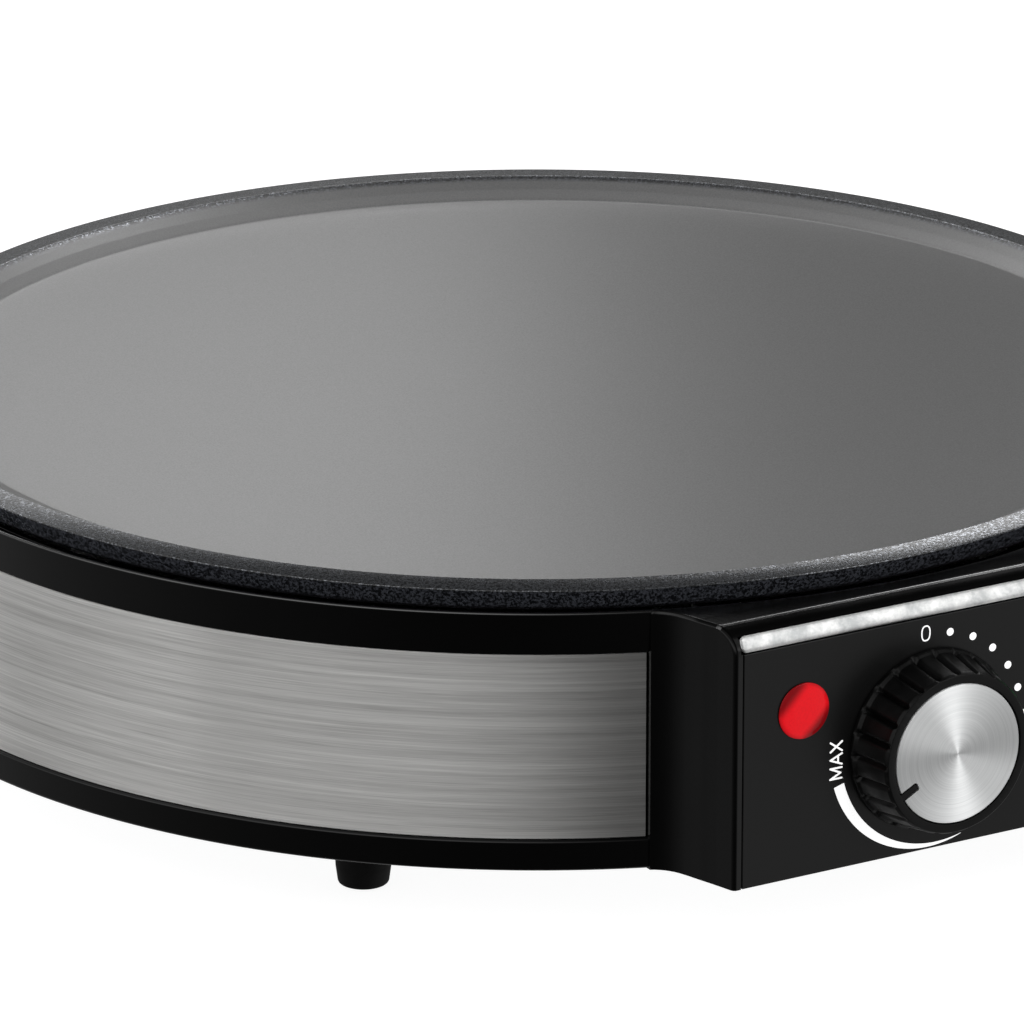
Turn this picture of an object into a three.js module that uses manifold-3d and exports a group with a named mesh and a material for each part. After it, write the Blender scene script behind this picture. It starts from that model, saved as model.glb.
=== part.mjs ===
// Round electric griddle: a coated cast plate on a low drum with a boxed control panel.
// Millimetres, +Z up. The origin is the centre of the overall box, on the table under the feet;
// the control panel faces -Y. Everything is built about the plate's axis and then moved by AXIS_Y.
import * as THREE from 'three';
import { mergeVertices } from 'three/addons/utils/BufferGeometryUtils.js';
import Module from 'manifold-3d';

const wasm = await Module();
wasm.setup();

// ---------------------------------------------------------------- driving dimensions
const AXIS_Y = 6.9;            // plate axis ahead of the origin, so that the box is centred
const HEIGHT = 77.0;           // table to the crest of the plate's lip
const SEG = 48;                // facets round the drum and the plate

const PLATE_R = 152.2;         // widest radius of the plate
const LIP_IN_R = 145.4;        // inner edge of the lip's crest
const SURFACE_R = 134.0;       // edge of the truly flat cooking surface
const SURFACE_Z = 73.0;        // cooking surface
const PLATE_BOTTOM = 68.6;     // underside of the plate

const RING_R = 155.0;          // black ring round the plate
const RING_LOW_R = 154.3;      // the ring's face leans in to the band's edge
const RING_TOP = 72.2;
const RING_BOTTOM = 63.3;
const BAND_R = 154.2;          // outside of the steel band
const BAND_T = 0.6;
const LIP_R = 154.7;           // black lower lip
const LIP_TOP = 21.1;
const BASE_Z = 14.2;           // lower edge of the drum
const WALL_R = 153.3;          // drum wall behind the band
const WALL_IN_R = 150.6;
const BAND_END_DEG = 22.0;     // the band stops this far either side of the front

const PANEL_N = 164.0;         // panel face, ahead of the plate axis
const PANEL_HALF = 46.6;       // half width of the panel
const STRIP_HALF = 47.2;       // half length of the trim strip
const PANEL_T = 1.6;
const DECK_Z = 72.6;           // top deck of the control box
const EDGE_R = 6.2;            // rounding between deck and panel
const STRIP_A0 = 8.6;          // trim strip, degrees up that rounding
const STRIP_A1 = 41.6;

const KNOB_Z = 39.6;
const KNOB_R = 20.2;
const KNOB_TOP_R = 18.1;
const KNOB_H = 11.3;           // panel face to the knob's front
const CAP_R = 15.5;
const FLUTES = 24;
const POINTER_DEG = 208;       // rest position, anticlockwise from +X seen from the front
const LENS_X = 31.8;
const LENS_Z = 51.8;
const LENS_R = 6.1;

const ELEMENT_R = 95.0;        // heating loop
const ELEMENT_TUBE_R = 3.3;
const ELEMENT_Z = 63.3;
const ELEMENT_GAP_DEG = 12;    // half of the gap between the loop's ends
const STUD_R = 114.0;          // pitch radius of the plate studs
const STUD_DEG = [60, 180, 300];
const SHIELD_Z = 49.6;

const FOOT_X = 95.5;
const FOOT_Y = 88.0;
const COVER_Z = 15.6;
const COVER_T = 1.5;
const GLAND_Z = 31.0;
const GLAND_NOSE = 161.5;      // how far back the inlet gland reaches from the plate axis
const GAP = 0.3;

// ---------------------------------------------------------------- helpers
const D = Math.PI / 180;

function clean(geo) {
  const g0 = geo.index ? geo : geo;
  g0.deleteAttribute('normal');
  g0.deleteAttribute('uv');
  const g = mergeVertices(g0, 1e-4);
  const p = g.attributes.position, id = g.index.array, out = [];
  for (let i = 0; i < id.length; i += 3) {
    const [a, b, c] = [id[i], id[i + 1], id[i + 2]];
    if (a !== b && b !== c && a !== c) out.push(a, b, c);
  }
  let v = 0;
  for (let i = 0; i < out.length; i += 3) {
    const a = new THREE.Vector3().fromBufferAttribute(p, out[i]);
    const b = new THREE.Vector3().fromBufferAttribute(p, out[i + 1]);
    const c = new THREE.Vector3().fromBufferAttribute(p, out[i + 2]);
    v += a.dot(b.cross(c));
  }
  if (v < 0) for (let i = 0; i < out.length; i += 3) [out[i], out[i + 1]] = [out[i + 1], out[i]];
  g.setIndex(out);
  return g;
}

function solid(geo) {
  const g = clean(geo);
  return new wasm.Manifold(new wasm.Mesh({
    numProp: 3,
    vertProperties: Float32Array.from(g.attributes.position.array),
    triVerts: Uint32Array.from(g.index.array),
  }));
}

function geometry(man) {
  const m = man.getMesh();
  const g = new THREE.BufferGeometry();
  const pos = new Float32Array(m.numVert * 3);
  for (let i = 0; i < m.numVert; i++) for (let k = 0; k < 3; k++) pos[3 * i + k] = m.vertProperties[m.numProp * i + k];
  g.setAttribute('position', new THREE.BufferAttribute(pos, 3));
  g.setIndex(Array.from(m.triVerts));
  return g;
}

// revolve [radius, height] points about Z; a profile that misses the axis closes on itself
function latheZ(profile, segs = SEG) {
  const pts = profile.map(([r, z]) => new THREE.Vector2(r, z));
  if (profile[0][0] !== 0) pts.push(pts[0].clone());
  return new THREE.LatheGeometry(pts, segs).rotateY(Math.PI / 2).rotateX(Math.PI / 2);
}

// revolve [radius, distance ahead of the plate axis] points about a line along -Y
function latheFront(profile, segs, x, z) {
  const pts = profile.map(([r, n]) => new THREE.Vector2(r, n));
  if (profile[0][0] !== 0) pts.push(pts[0].clone());
  return new THREE.LatheGeometry(pts, segs).rotateX(Math.PI).translate(x, 0, z);
}

function shape(points, holes = []) {
  const s = new THREE.Shape(points.map(([a, b]) => new THREE.Vector2(a, b)));
  for (const h of holes) s.holes.push(new THREE.Path(h.map(([a, b]) => new THREE.Vector2(a, b))));
  return s;
}

function prismZ(points, z0, z1, holes = []) {
  return new THREE.ExtrudeGeometry(shape(points, holes), { depth: z1 - z0, bevelEnabled: false, curveSegments: 1 })
    .translate(0, 0, z0);
}

// side profile of [y, z] points carried along X
function prismX(points, x0, x1) {
  const m = new THREE.Matrix4().makeBasis(
    new THREE.Vector3(0, 1, 0), new THREE.Vector3(0, 0, 1), new THREE.Vector3(1, 0, 0));
  return new THREE.ExtrudeGeometry(shape(points), { depth: x1 - x0, bevelEnabled: false, curveSegments: 1 })
    .applyMatrix4(m).translate(x0, 0, 0);
}

function box(x0, x1, y0, y1, z0, z1) {
  return new THREE.BoxGeometry(x1 - x0, y1 - y0, z1 - z0)
    .translate((x0 + x1) / 2, (y0 + y1) / 2, (z0 + z1) / 2);
}

function cylZ(r, x, y, z0, z1, segs = 16) {
  return new THREE.CylinderGeometry(r, r, z1 - z0, segs).rotateX(Math.PI / 2).translate(x, y, (z0 + z1) / 2);
}

// rod along Y from n0 to n1 ahead of the plate axis
function cylFront(r, x, z, n0, n1, segs = 16) {
  return new THREE.CylinderGeometry(r, r, n1 - n0, segs).translate(x, -(n0 + n1) / 2, z);
}

function circle(r, x, y, segs, a0 = 0) {
  return Array.from({ length: segs }, (_, i) => {
    const a = a0 + (2 * Math.PI * i) / segs;
    return [x + r * Math.cos(a), y + r * Math.sin(a)];
  });
}

function arc(r, cx, cy, d0, d1, n) {
  return Array.from({ length: n + 1 }, (_, i) => {
    const a = (d0 + ((d1 - d0) * i) / n) * D;
    return [cx + r * Math.cos(a), cy + r * Math.sin(a)];
  });
}

function tube(points, r, sides, steps) {
  const path = new THREE.CatmullRomCurve3(points.map(([x, y, z]) => new THREE.Vector3(x, y, z)), false, 'centripetal');
  return new THREE.ExtrudeGeometry(shape(circle(r, 0, 0, sides)), { steps, bevelEnabled: false, extrudePath: path });
}

const polar = (r, deg) => [r * Math.cos(deg * D), r * Math.sin(deg * D)];
const mirrorX = (pts) => pts.map(([x, y]) => [-x, y]).reverse();

// ---------------------------------------------------------------- scene and materials
const group = new THREE.Group();
group.name = 'electric_griddle';
const unit = new THREE.Group();
unit.position.set(0, AXIS_Y, 0);
group.add(unit);

const finish = {
  coating: [0x6b6b6b, 0.6, 0.25],
  black: [0x0b0b0c, 0.22, 0.0],
  panel: [0x161617, 0.35, 0.0],
  steel: [0xb4b2ae, 0.33, 1.0],
  silver: [0xe4e4e2, 0.3, 0.7],
  red: [0xd81b20, 0.2, 0.0],
  green: [0x1f9a45, 0.2, 0.0],
  knob: [0x121214, 0.45, 0.0],
  spun: [0xc4c6c6, 0.25, 1.0],
  rubber: [0x0e0e0e, 0.8, 0.0],
  sheet: [0xa8aaab, 0.45, 1.0],
  dark_steel: [0x4a4b4d, 0.4, 1.0],
  zinc: [0xb9babc, 0.35, 1.0],
  ceramic: [0xe9e4d8, 0.6, 0.0],
  nylon: [0xd9d5c8, 0.5, 0.0],
  bakelite: [0x2a221d, 0.5, 0.0],
  copper: [0xb87352, 0.35, 1.0],
  brass: [0xb89a55, 0.35, 1.0],
  glass: [0xe6b493, 0.1, 0.0],
  brown_wire: [0x6b3a1c, 0.5, 0.0],
  blue_wire: [0x2557a7, 0.5, 0.0],
  earth_wire: [0x8db13a, 0.5, 0.0],
  white_wire: [0xd8d8d4, 0.5, 0.0],
};

function add(name, geo, look) {
  const g = clean(geo);
  g.computeVertexNormals();
  const [color, roughness, metalness] = finish[look];
  const mesh = new THREE.Mesh(g, new THREE.MeshStandardMaterial({ color, roughness, metalness }));
  mesh.name = name;
  unit.add(mesh);
  return mesh;
}

// ---------------------------------------------------------------- cooking plate
{
  const g0 = ELEMENT_R - 3.6, g1 = ELEMENT_R + 3.6;   // groove for the loop
  let plate = solid(latheZ([
    [0, PLATE_BOTTOM], [g0 - 4, PLATE_BOTTOM], [g0 - 3, 62], [g0, 62],
    [g0, ELEMENT_Z + ELEMENT_TUBE_R + GAP], [g1, ELEMENT_Z + ELEMENT_TUBE_R + GAP],
    [g1, 62], [g1 + 3, 62], [g1 + 4, PLATE_BOTTOM], [136, PLATE_BOTTOM], [143.5, 71.2], [148.7, 71.2],
    [149.9, 72.3], [PLATE_R, 76.2], [151.7, 76.65], [146.0, HEIGHT], [LIP_IN_R, 76.8],
    [141.2, 74.7], [138.2, 73.3], [SURFACE_R, SURFACE_Z], [0, SURFACE_Z],
  ]));
  for (const a of STUD_DEG) {
    const [x, y] = polar(STUD_R, a);
    plate = plate.add(solid(cylZ(7, x, y, 64.6, PLATE_BOTTOM + 0.5, 12)));
    plate = plate.subtract(solid(cylZ(2.3, x, y, 60, 69.8, 8)));
  }
  add('cooking_plate', geometry(plate), 'coating');
}

// ---------------------------------------------------------------- heating loop, tucked in the groove
{
  const a0 = -90 + ELEMENT_GAP_DEG, a1 = 270 - ELEMENT_GAP_DEG;
  const pts = [];
  const [sx, sy] = polar(ELEMENT_R, a0), [ex, ey] = polar(ELEMENT_R, a1);
  pts.push([sx, sy, 47.0], [sx, sy, 56.5]);
  pts.push([...polar(ELEMENT_R, a0 + 1.2), 61.2]);
  for (let a = a0 + 5; a <= a1 - 5 + 1e-6; a += (a1 - a0 - 10) / 22) pts.push([...polar(ELEMENT_R, a), ELEMENT_Z]);
  pts.push([...polar(ELEMENT_R, a1 - 1.2), 61.2]);
  pts.push([ex, ey, 56.5], [ex, ey, 47.0]);
  add('heating_element', tube(pts, ELEMENT_TUBE_R, 8, 56), 'dark_steel');
  const pin = [[0, 38.0], [1.6, 38.0], [1.6, 42.0], [3.4, 42.2], [3.4, 46.4], [0, 46.7]];
  add('element_pin_a', latheZ(pin, 8).translate(ex, ey, 0), 'zinc');
  add('element_pin_b', latheZ(pin, 8).translate(sx, sy, 0), 'zinc');
}

// ---------------------------------------------------------------- heat shield
{
  let pan = solid(latheZ([
    [0, SHIELD_Z], [134, SHIELD_Z], [137.2, SHIELD_Z + 1.6], [137.2, 60], [136.4, 60],
    [136.4, SHIELD_Z + 2.0], [133.7, SHIELD_Z + 0.8], [0, SHIELD_Z + 0.8],
  ], 32));
  for (const a of STUD_DEG) pan = pan.subtract(solid(cylZ(2.6, ...polar(STUD_R, a), 45, 55, 8)));
  for (const a of [-90 - ELEMENT_GAP_DEG, -90 + ELEMENT_GAP_DEG]) {
    pan = pan.subtract(solid(cylZ(5.2, ...polar(ELEMENT_R, a), 45, 55, 10)));
  }
  pan = pan.subtract(solid(cylZ(4, -45, -69, 45, 55, 8)));
  pan = pan.subtract(solid(cylZ(2.1, -60, 30, 45, 55, 8)));
  add('heat_shield', geometry(pan), 'sheet');
}

// ---------------------------------------------------------------- what holds the plate down
STUD_DEG.forEach((a, i) => {
  const [x, y] = polar(STUD_R, a);
  add(`plate_stud_${i + 1}`, cylZ(2.0, x, y, 40.0, 69.4, 8), 'zinc');
  add(`ceramic_spacer_${i + 1}`, latheZ([[2.4, 50.7], [5, 50.7], [5, 64.3], [2.4, 64.3]], 10).translate(x, y, 0), 'ceramic');
  const nut = prismZ(circle(4.0, x, y, 6), 41.6, 45.0, [circle(2.3, x, y, 6)]);
  add(`stud_nut_${i + 1}`, nut, 'zinc');
});

// ---------------------------------------------------------------- black housing
const rightOuter = [
  [46.9, -164.0], [48.2, -163.5], [49.1, -162.4], [49.8, -160.3], [51.4, -154.8], [52.9, -149.2],
  [53.6, -147.4], [54.9, -146.1], [57.1, -144.3], [57.1, -139.6],
];
const rightInner = [[46.4, -159.6], [50.4, -147.6], [50.4, -136.0]];
const boxOuter = [...rightOuter, ...mirrorX(rightOuter)];
const boxInner = [...rightInner, ...mirrorX(rightInner)];
const edgeC = [-(PANEL_N - EDGE_R), DECK_Z - EDGE_R];      // centre of the deck-to-panel rounding
const frontArc = (r, d0, d1, n) => arc(r, edgeC[0], edgeC[1], 180 - d0, 180 - d1, n);
{
  let h = solid(latheZ([
    [WALL_IN_R, BASE_Z], [LIP_R - 0.6, BASE_Z], [LIP_R, BASE_Z + 0.6], [LIP_R, LIP_TOP], [WALL_R, LIP_TOP],
    [WALL_R, RING_BOTTOM], [RING_LOW_R, RING_BOTTOM], [RING_R, RING_TOP - 0.4], [RING_R - 0.3, RING_TOP],
    [153.8, RING_TOP], [151.6, 67.0], [148.0, 67.0], [147.6, 69.4], [146.2, 69.4], [146.2, 63.8], [WALL_IN_R, 62.2],
  ]));
  const side = [[-130, BASE_Z], [-PANEL_N, BASE_Z], ...frontArc(EDGE_R, 0, 66, 7), [-159.1, DECK_Z], [-130, DECK_Z]];
  const hood = solid(prismZ(boxOuter, BASE_Z - 1, DECK_Z + 1)).intersect(solid(prismX(side, -80, 80)));
  h = h.add(hood);
  // channel round the plate, and the space inside the drum
  h = h.subtract(solid(latheZ([[0, 63.0], [146.2, 63.0], [146.2, 69.4], [147.6, 69.4], [148.0, 67.0], [151.6, 67.0], [153.8, 72.2], [153.8, 80], [0, 80]])));
  h = h.subtract(solid(latheZ([[0, 0], [WALL_IN_R, 0], [WALL_IN_R, 62.2], [146.2, 63.8], [0, 63.8]])));
  // inside of the control box, open to the drum and below
  const inside = [[-136, 10], [-159.6, 10], ...arc(1.8, edgeC[0], edgeC[1], 180, 90, 3), [-153.8, 66.35], [-153.8, 62.0], [-136, 62.0]];
  h = h.subtract(solid(prismZ(boxInner, 5, 80)).intersect(solid(prismX(inside, -80, 80))));
  // step for the panel and the strip
  const step = [[-170, 5], [-(PANEL_N - PANEL_T - GAP), 5], ...frontArc(EDGE_R - PANEL_T - GAP, 0, STRIP_A0 - 1.2, 1),
    ...frontArc(12, STRIP_A0 - 1.2, 0, 1), [-170, edgeC[1]]];
  h = h.subtract(solid(prismX(step, -PANEL_HALF - GAP, PANEL_HALF + GAP)));
  const groove = [...frontArc(EDGE_R - PANEL_T - GAP, STRIP_A0 - 2, STRIP_A1 + 1.6, 5), ...frontArc(12, STRIP_A1 + 1.6, STRIP_A0 - 2, 3)];
  h = h.subtract(solid(prismX(groove, -STRIP_HALF - GAP, STRIP_HALF + GAP)));
  h = h.subtract(solid(cylFront(5.0, 0, KNOB_Z, 150, 175, 16)));
  for (const s of [-1, 1]) {
    h = h.subtract(solid(cylFront(LENS_R - 0.2, s * LENS_X, LENS_Z, 150, 175, 16)));
    h = h.subtract(solid(cylFront(2.3, s * 14, KNOB_Z, 150, 175, 8)));
  }
  h = h.subtract(solid(cylFront(6.4, 0, GLAND_Z, -170, -140, 16)));
  // posts for the foot screws, each on a rib from the wall
  for (const sx of [-1, 1]) for (const sy of [-1, 1]) {
    const x = sx * FOOT_X, y = sy * FOOT_Y, a = Math.atan2(y, x);
    h = h.add(solid(cylZ(5.2, x, y, COVER_Z + COVER_T + GAP, 40, 10)));
    h = h.add(solid(new THREE.BoxGeometry(18.5, 2.4, 22).translate(143.0, 0, 29).rotateZ(a)));
    h = h.subtract(solid(cylZ(1.9, x, y, 10, 32, 8)));
  }
  // posts for the cover screws in the control box
  for (const s of [-1, 1]) {
    h = h.add(solid(cylZ(4.2, s * 39.5, -152.5, COVER_Z + COVER_T + GAP, 34, 10)));
    h = h.add(solid(box(s * 39.5 - 1.2, s * 39.5 + 1.2, -160.2, -153, COVER_Z + COVER_T + GAP, 34)));
    h = h.subtract(solid(cylZ(1.7, s * 39.5, -152.5, 10, 30, 8)));
  }
  // shelves that the plate studs bolt down to
  for (const a of STUD_DEG) {
    h = h.add(solid(new THREE.BoxGeometry(44.6, 14, 4).translate(129.2, 0, 47.3).rotateZ(a * D)));
    h = h.add(solid(new THREE.BoxGeometry(29, 2.4, 16).translate(137.0, 0, 37.6).rotateZ(a * D)));
    h = h.subtract(solid(cylZ(2.4, ...polar(STUD_R, a), 40, 55, 8)));
  }
  add('housing_shell', geometry(h), 'black');
}

// ---------------------------------------------------------------- steel band
{
  let b = solid(latheZ([
    [BAND_R - BAND_T, LIP_TOP + GAP], [BAND_R, LIP_TOP + GAP], [BAND_R, RING_BOTTOM - GAP], [BAND_R - BAND_T, RING_BOTTOM - GAP],
  ]));
  const w = BAND_END_DEG * D, k = 200;
  b = b.subtract(solid(prismZ([[0, 0], [-k * Math.sin(w), -k * Math.cos(w)], [k * Math.sin(w), -k * Math.cos(w)]], 0, 80)));
  b = b.subtract(solid(cylFront(6.4, 0, GLAND_Z, -170, -140, 16)));
  add('steel_band', geometry(b), 'steel');
}

// ---------------------------------------------------------------- front panel and trim strip
{
  const face = [[-(PANEL_N - PANEL_T), BASE_Z], [-PANEL_N, BASE_Z], ...frontArc(EDGE_R, 0, STRIP_A0 - 1.6, 1),
    ...frontArc(EDGE_R - PANEL_T, STRIP_A0 - 1.6, 0, 1)];
  let p = solid(prismX(face, -PANEL_HALF, PANEL_HALF));
  p = p.subtract(solid(cylFront(4.6, 0, KNOB_Z, 150, 175, 16)));
  for (const s of [-1, 1]) {
    p = p.subtract(solid(cylFront(LENS_R - 0.2, s * LENS_X, LENS_Z, 150, 175, 16)));
    p = p.subtract(solid(cylFront(2.3, s * 14, KNOB_Z, 150, 175, 8)));
  }
  add('front_panel', geometry(p), 'panel');
  const strip = [...frontArc(EDGE_R + 0.25, STRIP_A0, STRIP_A1, 4), ...frontArc(EDGE_R - PANEL_T + 0.2, STRIP_A1, STRIP_A0, 4)];
  add('trim_strip', prismX(strip, -STRIP_HALF, STRIP_HALF), 'silver');
}

// ---------------------------------------------------------------- indicator lamps
for (const [side, s, look] of [['left', -1, 'red'], ['right', 1, 'green']]) {
  const x = s * LENS_X;
  add(`lens_${look}`, latheFront([
    [0, 158.0], [LENS_R - 0.6, 158.0], [LENS_R - 0.6, PANEL_N + 0.3], [LENS_R + 0.4, PANEL_N + 0.3],
    [LENS_R + 0.2, PANEL_N + 0.7], [4.6, PANEL_N + 1.3], [2.4, PANEL_N + 1.65], [0, PANEL_N + 1.8],
  ], 16, x, LENS_Z), look);
  add(`lamp_holder_${side}`, latheFront([[LENS_R - 0.2, 147.6], [LENS_R + 1.3, 147.6], [LENS_R + 1.3, 159.2], [LENS_R - 0.2, 159.2]], 12, x, LENS_Z), 'nylon');
  add(`neon_lamp_${side}`, latheFront([[0, 148.5], [1.2, 148.5], [2.8, 150.0], [2.8, 155.5], [1.4, 157.3], [0, 157.6]], 8, x, LENS_Z), 'glass');
  add(`lamp_lead_${side}`, tube([[x, -148.2, LENS_Z], [x, -144, LENS_Z], [s * 29, -140.5, 50], [s * 24, -141.5, 46], [s * 19.5, -143, 45]], 1.0, 6, 9), 'white_wire');
}

// ---------------------------------------------------------------- control knob, turning about its shaft
const knob = new THREE.Group();
knob.position.set(0, -PANEL_N, KNOB_Z);
unit.add(knob);
function addKnob(name, geo, look) {
  const mesh = add(name, geo, look);
  unit.remove(mesh);
  knob.add(mesh);
}
{
  // radial points are [radius, height above the panel]; the grip's outer wall carries the flutes
  const grip = new THREE.LatheGeometry([
    [0, 0.4], [KNOB_R, 0.4], [KNOB_R, 1.4], [KNOB_R - 0.7, 2.0], [KNOB_TOP_R, KNOB_H - 0.7], [KNOB_TOP_R - 0.7, KNOB_H],
    [CAP_R + 0.3, KNOB_H], [CAP_R + 0.3, KNOB_H - 1.0], [0, KNOB_H - 1.0],
  ].map(([r, h]) => new THREE.Vector2(r, h)), FLUTES * 3);
  const p = grip.attributes.position;
  for (let i = 0; i < p.count; i++) {
    const x = p.getX(i), y = p.getY(i), z = p.getZ(i), r = Math.hypot(x, z);
    if (r < KNOB_TOP_R - 0.2 || y < 1.9) continue;
    const k = Math.round(((Math.atan2(z, x) + 4 * Math.PI) / (2 * Math.PI)) * FLUTES * 3) % 3;
    if (k === 0) { p.setX(i, (x * (r - 0.9)) / r); p.setZ(i, (z * (r - 0.9)) / r); }
  }
  grip.rotateX(Math.PI);
  let k = solid(grip);
  const hollow = [[5.6, 0], [18.4, 0], [17.4, 8.4], [5.6, 8.4]];
  k = k.subtract(solid(latheFront(hollow, 24, 0, 0)));
  k = k.subtract(solid(cylFront(3.3, 0, 0, -1, 8.2, 12)));
  const [c, s] = [Math.cos(POINTER_DEG * D), Math.sin(POINTER_DEG * D)];
  const rib = new THREE.BoxGeometry(4.9, 1.0, 1.5).translate(13.65, -(KNOB_H - 0.65), 0).rotateY(-POINTER_DEG * D);
  k = k.add(solid(rib));
  addKnob('knob_body', geometry(k), 'knob');
  let cap = solid(latheFront([[0, KNOB_H - 0.7], [CAP_R, KNOB_H - 0.7], [CAP_R, KNOB_H - 0.2], [CAP_R - 0.2, KNOB_H - 0.05], [0, KNOB_H - 0.05]], 36, 0, 0));
  cap = cap.subtract(solid(new THREE.BoxGeometry(6, 4, 2.1).translate(13.9, -KNOB_H, 0).rotateY(-POINTER_DEG * D)));
  addKnob('knob_cap', geometry(cap), 'spun');
  addKnob('thermostat_shaft', cylFront(3.0, 0, 0, -10.5, 7.8, 12), 'zinc');
}

// ---------------------------------------------------------------- thermostat and its sensor
{
  let t = solid(box(-19, 19, -159.2, -138.6, 23.5, 55.5));
  t = t.subtract(solid(cylFront(3.4, 0, KNOB_Z, 152.5, 165, 12)));
  for (const s of [-1, 1]) t = t.subtract(solid(cylFront(2.1, s * 14, KNOB_Z, 154, 165, 8)));
  add('thermostat_body', geometry(t), 'bakelite');
  for (const [id, s] of [['a', -1], ['b', 1]]) {
    add(`thermostat_screw_${id}`, latheFront([
      [0, 155.0], [1.8, 155.0], [1.8, PANEL_N + 0.3], [3.2, PANEL_N + 0.3], [3.2, PANEL_N + 1.6], [0, PANEL_N + 2.0],
    ], 8, s * 14, KNOB_Z), 'zinc');
  }
  add('sensor_bulb', new THREE.CylinderGeometry(3, 3, 70, 10).rotateZ(Math.PI / 2).translate(0, -62, 65.3), 'copper');
  add('capillary_tube', tube([
    [-35.4, -62, 65.3], [-40.5, -62, 65.0], [-44.2, -64, 61], [-45, -68, 53], [-44.8, -71, 46], [-42, -84, 38],
    [-30, -108, 40], [-13, -126, 43], [-6, -138.2, 43.5],
  ], 1.0, 6, 30), 'copper');
  const clip = (r, cy) => {
    const cz = 68.3 - r;   // the rod touches the plate from below
    const o = r + 1.3, i = r + 0.3;
    return [[cy - o - 4, 67.3], [cy - o, 67.3], ...arc(o, cy, cz, 180, 360, 6), [cy + o, 67.3], [cy + o + 4, 67.3],
      [cy + o + 4, 68.3], [cy + i, 68.3], ...arc(i, cy, cz, 360, 180, 6), [cy - i, 68.3], [cy - o - 4, 68.3]];
  };
  add('bulb_clip', prismX(clip(3, -62), -7, 7), 'sheet');
  add('thermal_fuse', new THREE.LatheGeometry([[0, -16], [0.6, -16], [0.6, -7], [2, -6], [2, 6], [0.6, 7], [0.6, 16], [0, 16]]
    .map(([r, h]) => new THREE.Vector2(r, h)), 8).rotateZ(Math.PI / 2).translate(30, 20, 66.3), 'zinc');
  add('fuse_clip', prismX(clip(2, 20), 26, 34), 'sheet');
}

// ---------------------------------------------------------------- mains side
{
  let t = solid(box(-13, 13, 100, 116, COVER_Z + COVER_T + GAP, 29.5));
  for (const x of [-4.2, 4.2]) t = t.subtract(solid(box(x - 0.8, x + 0.8, 95, 120, 24.5, 35)));
  add('terminal_block', geometry(t), 'nylon');
  const [px] = polar(ELEMENT_R, -90 + ELEMENT_GAP_DEG), py = -ELEMENT_R * Math.cos(ELEMENT_GAP_DEG * D);
  add('neutral_lead', tube([[8.5, 99.6, 21.5], [12, 90, 21.5], [30, 50, 20.5], [33, -30, 20.5], [25, -80, 24], [px, py + 0.6, 31], [px, py, 37.6]], 1.3, 6, 20), 'blue_wire');
  add('live_lead', tube([[0, 99.6, 21.5], [0, 90, 21.3], [3, 40, 20.3], [0, -60, 20.3], [5, -110, 22.5], [12, -128, 28], [12, -138.2, 30]], 1.3, 6, 20), 'brown_wire');
  add('switched_lead', tube([[-12, -138.2, 30], [-12.5, -128, 29.5], [-18, -108, 27], [-px, py - 1, 30], [-px, py, 37.6]], 1.3, 6, 12), 'white_wire');
  add('earth_lead', tube([[-8.5, 99.6, 21.5], [-12, 90, 21.5], [-30, 66, 24], [-52, 46, 38], [-60, 40.5, 46], [-60, 39.8, 48.1]], 1.3, 6, 16), 'earth_wire');
  add('earth_tag', prismZ([[-64, 26], [-56, 26], [-56, 42], [-64, 42]], 48.5, 49.3, [circle(2.1, -60, 30, 8)]), 'brass');
  add('earth_screw', latheZ([[0, 45.6], [2.6, 45.8], [3.2, 46.6], [3.2, 48.2], [1.7, 48.2], [1.7, 55], [0, 55]], 8).translate(-60, 30, 0), 'brass');
  // bush in the back wall; its bore is the way in for a round mains cord
  const bush = [[3.8, 147.0], [8.0, 147.0], [8.0, 149.5], [6.0, 149.5], [6.0, 154.6], [9.2, 154.6], [9.2, 156.6], [6.9, 157.4], [6.0, GLAND_NOSE], [3.8, GLAND_NOSE]];
  add('cord_gland', latheFront(bush, 16, 0, 0).rotateX(Math.PI).translate(0, 0, GLAND_Z), 'rubber');
}

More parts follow.
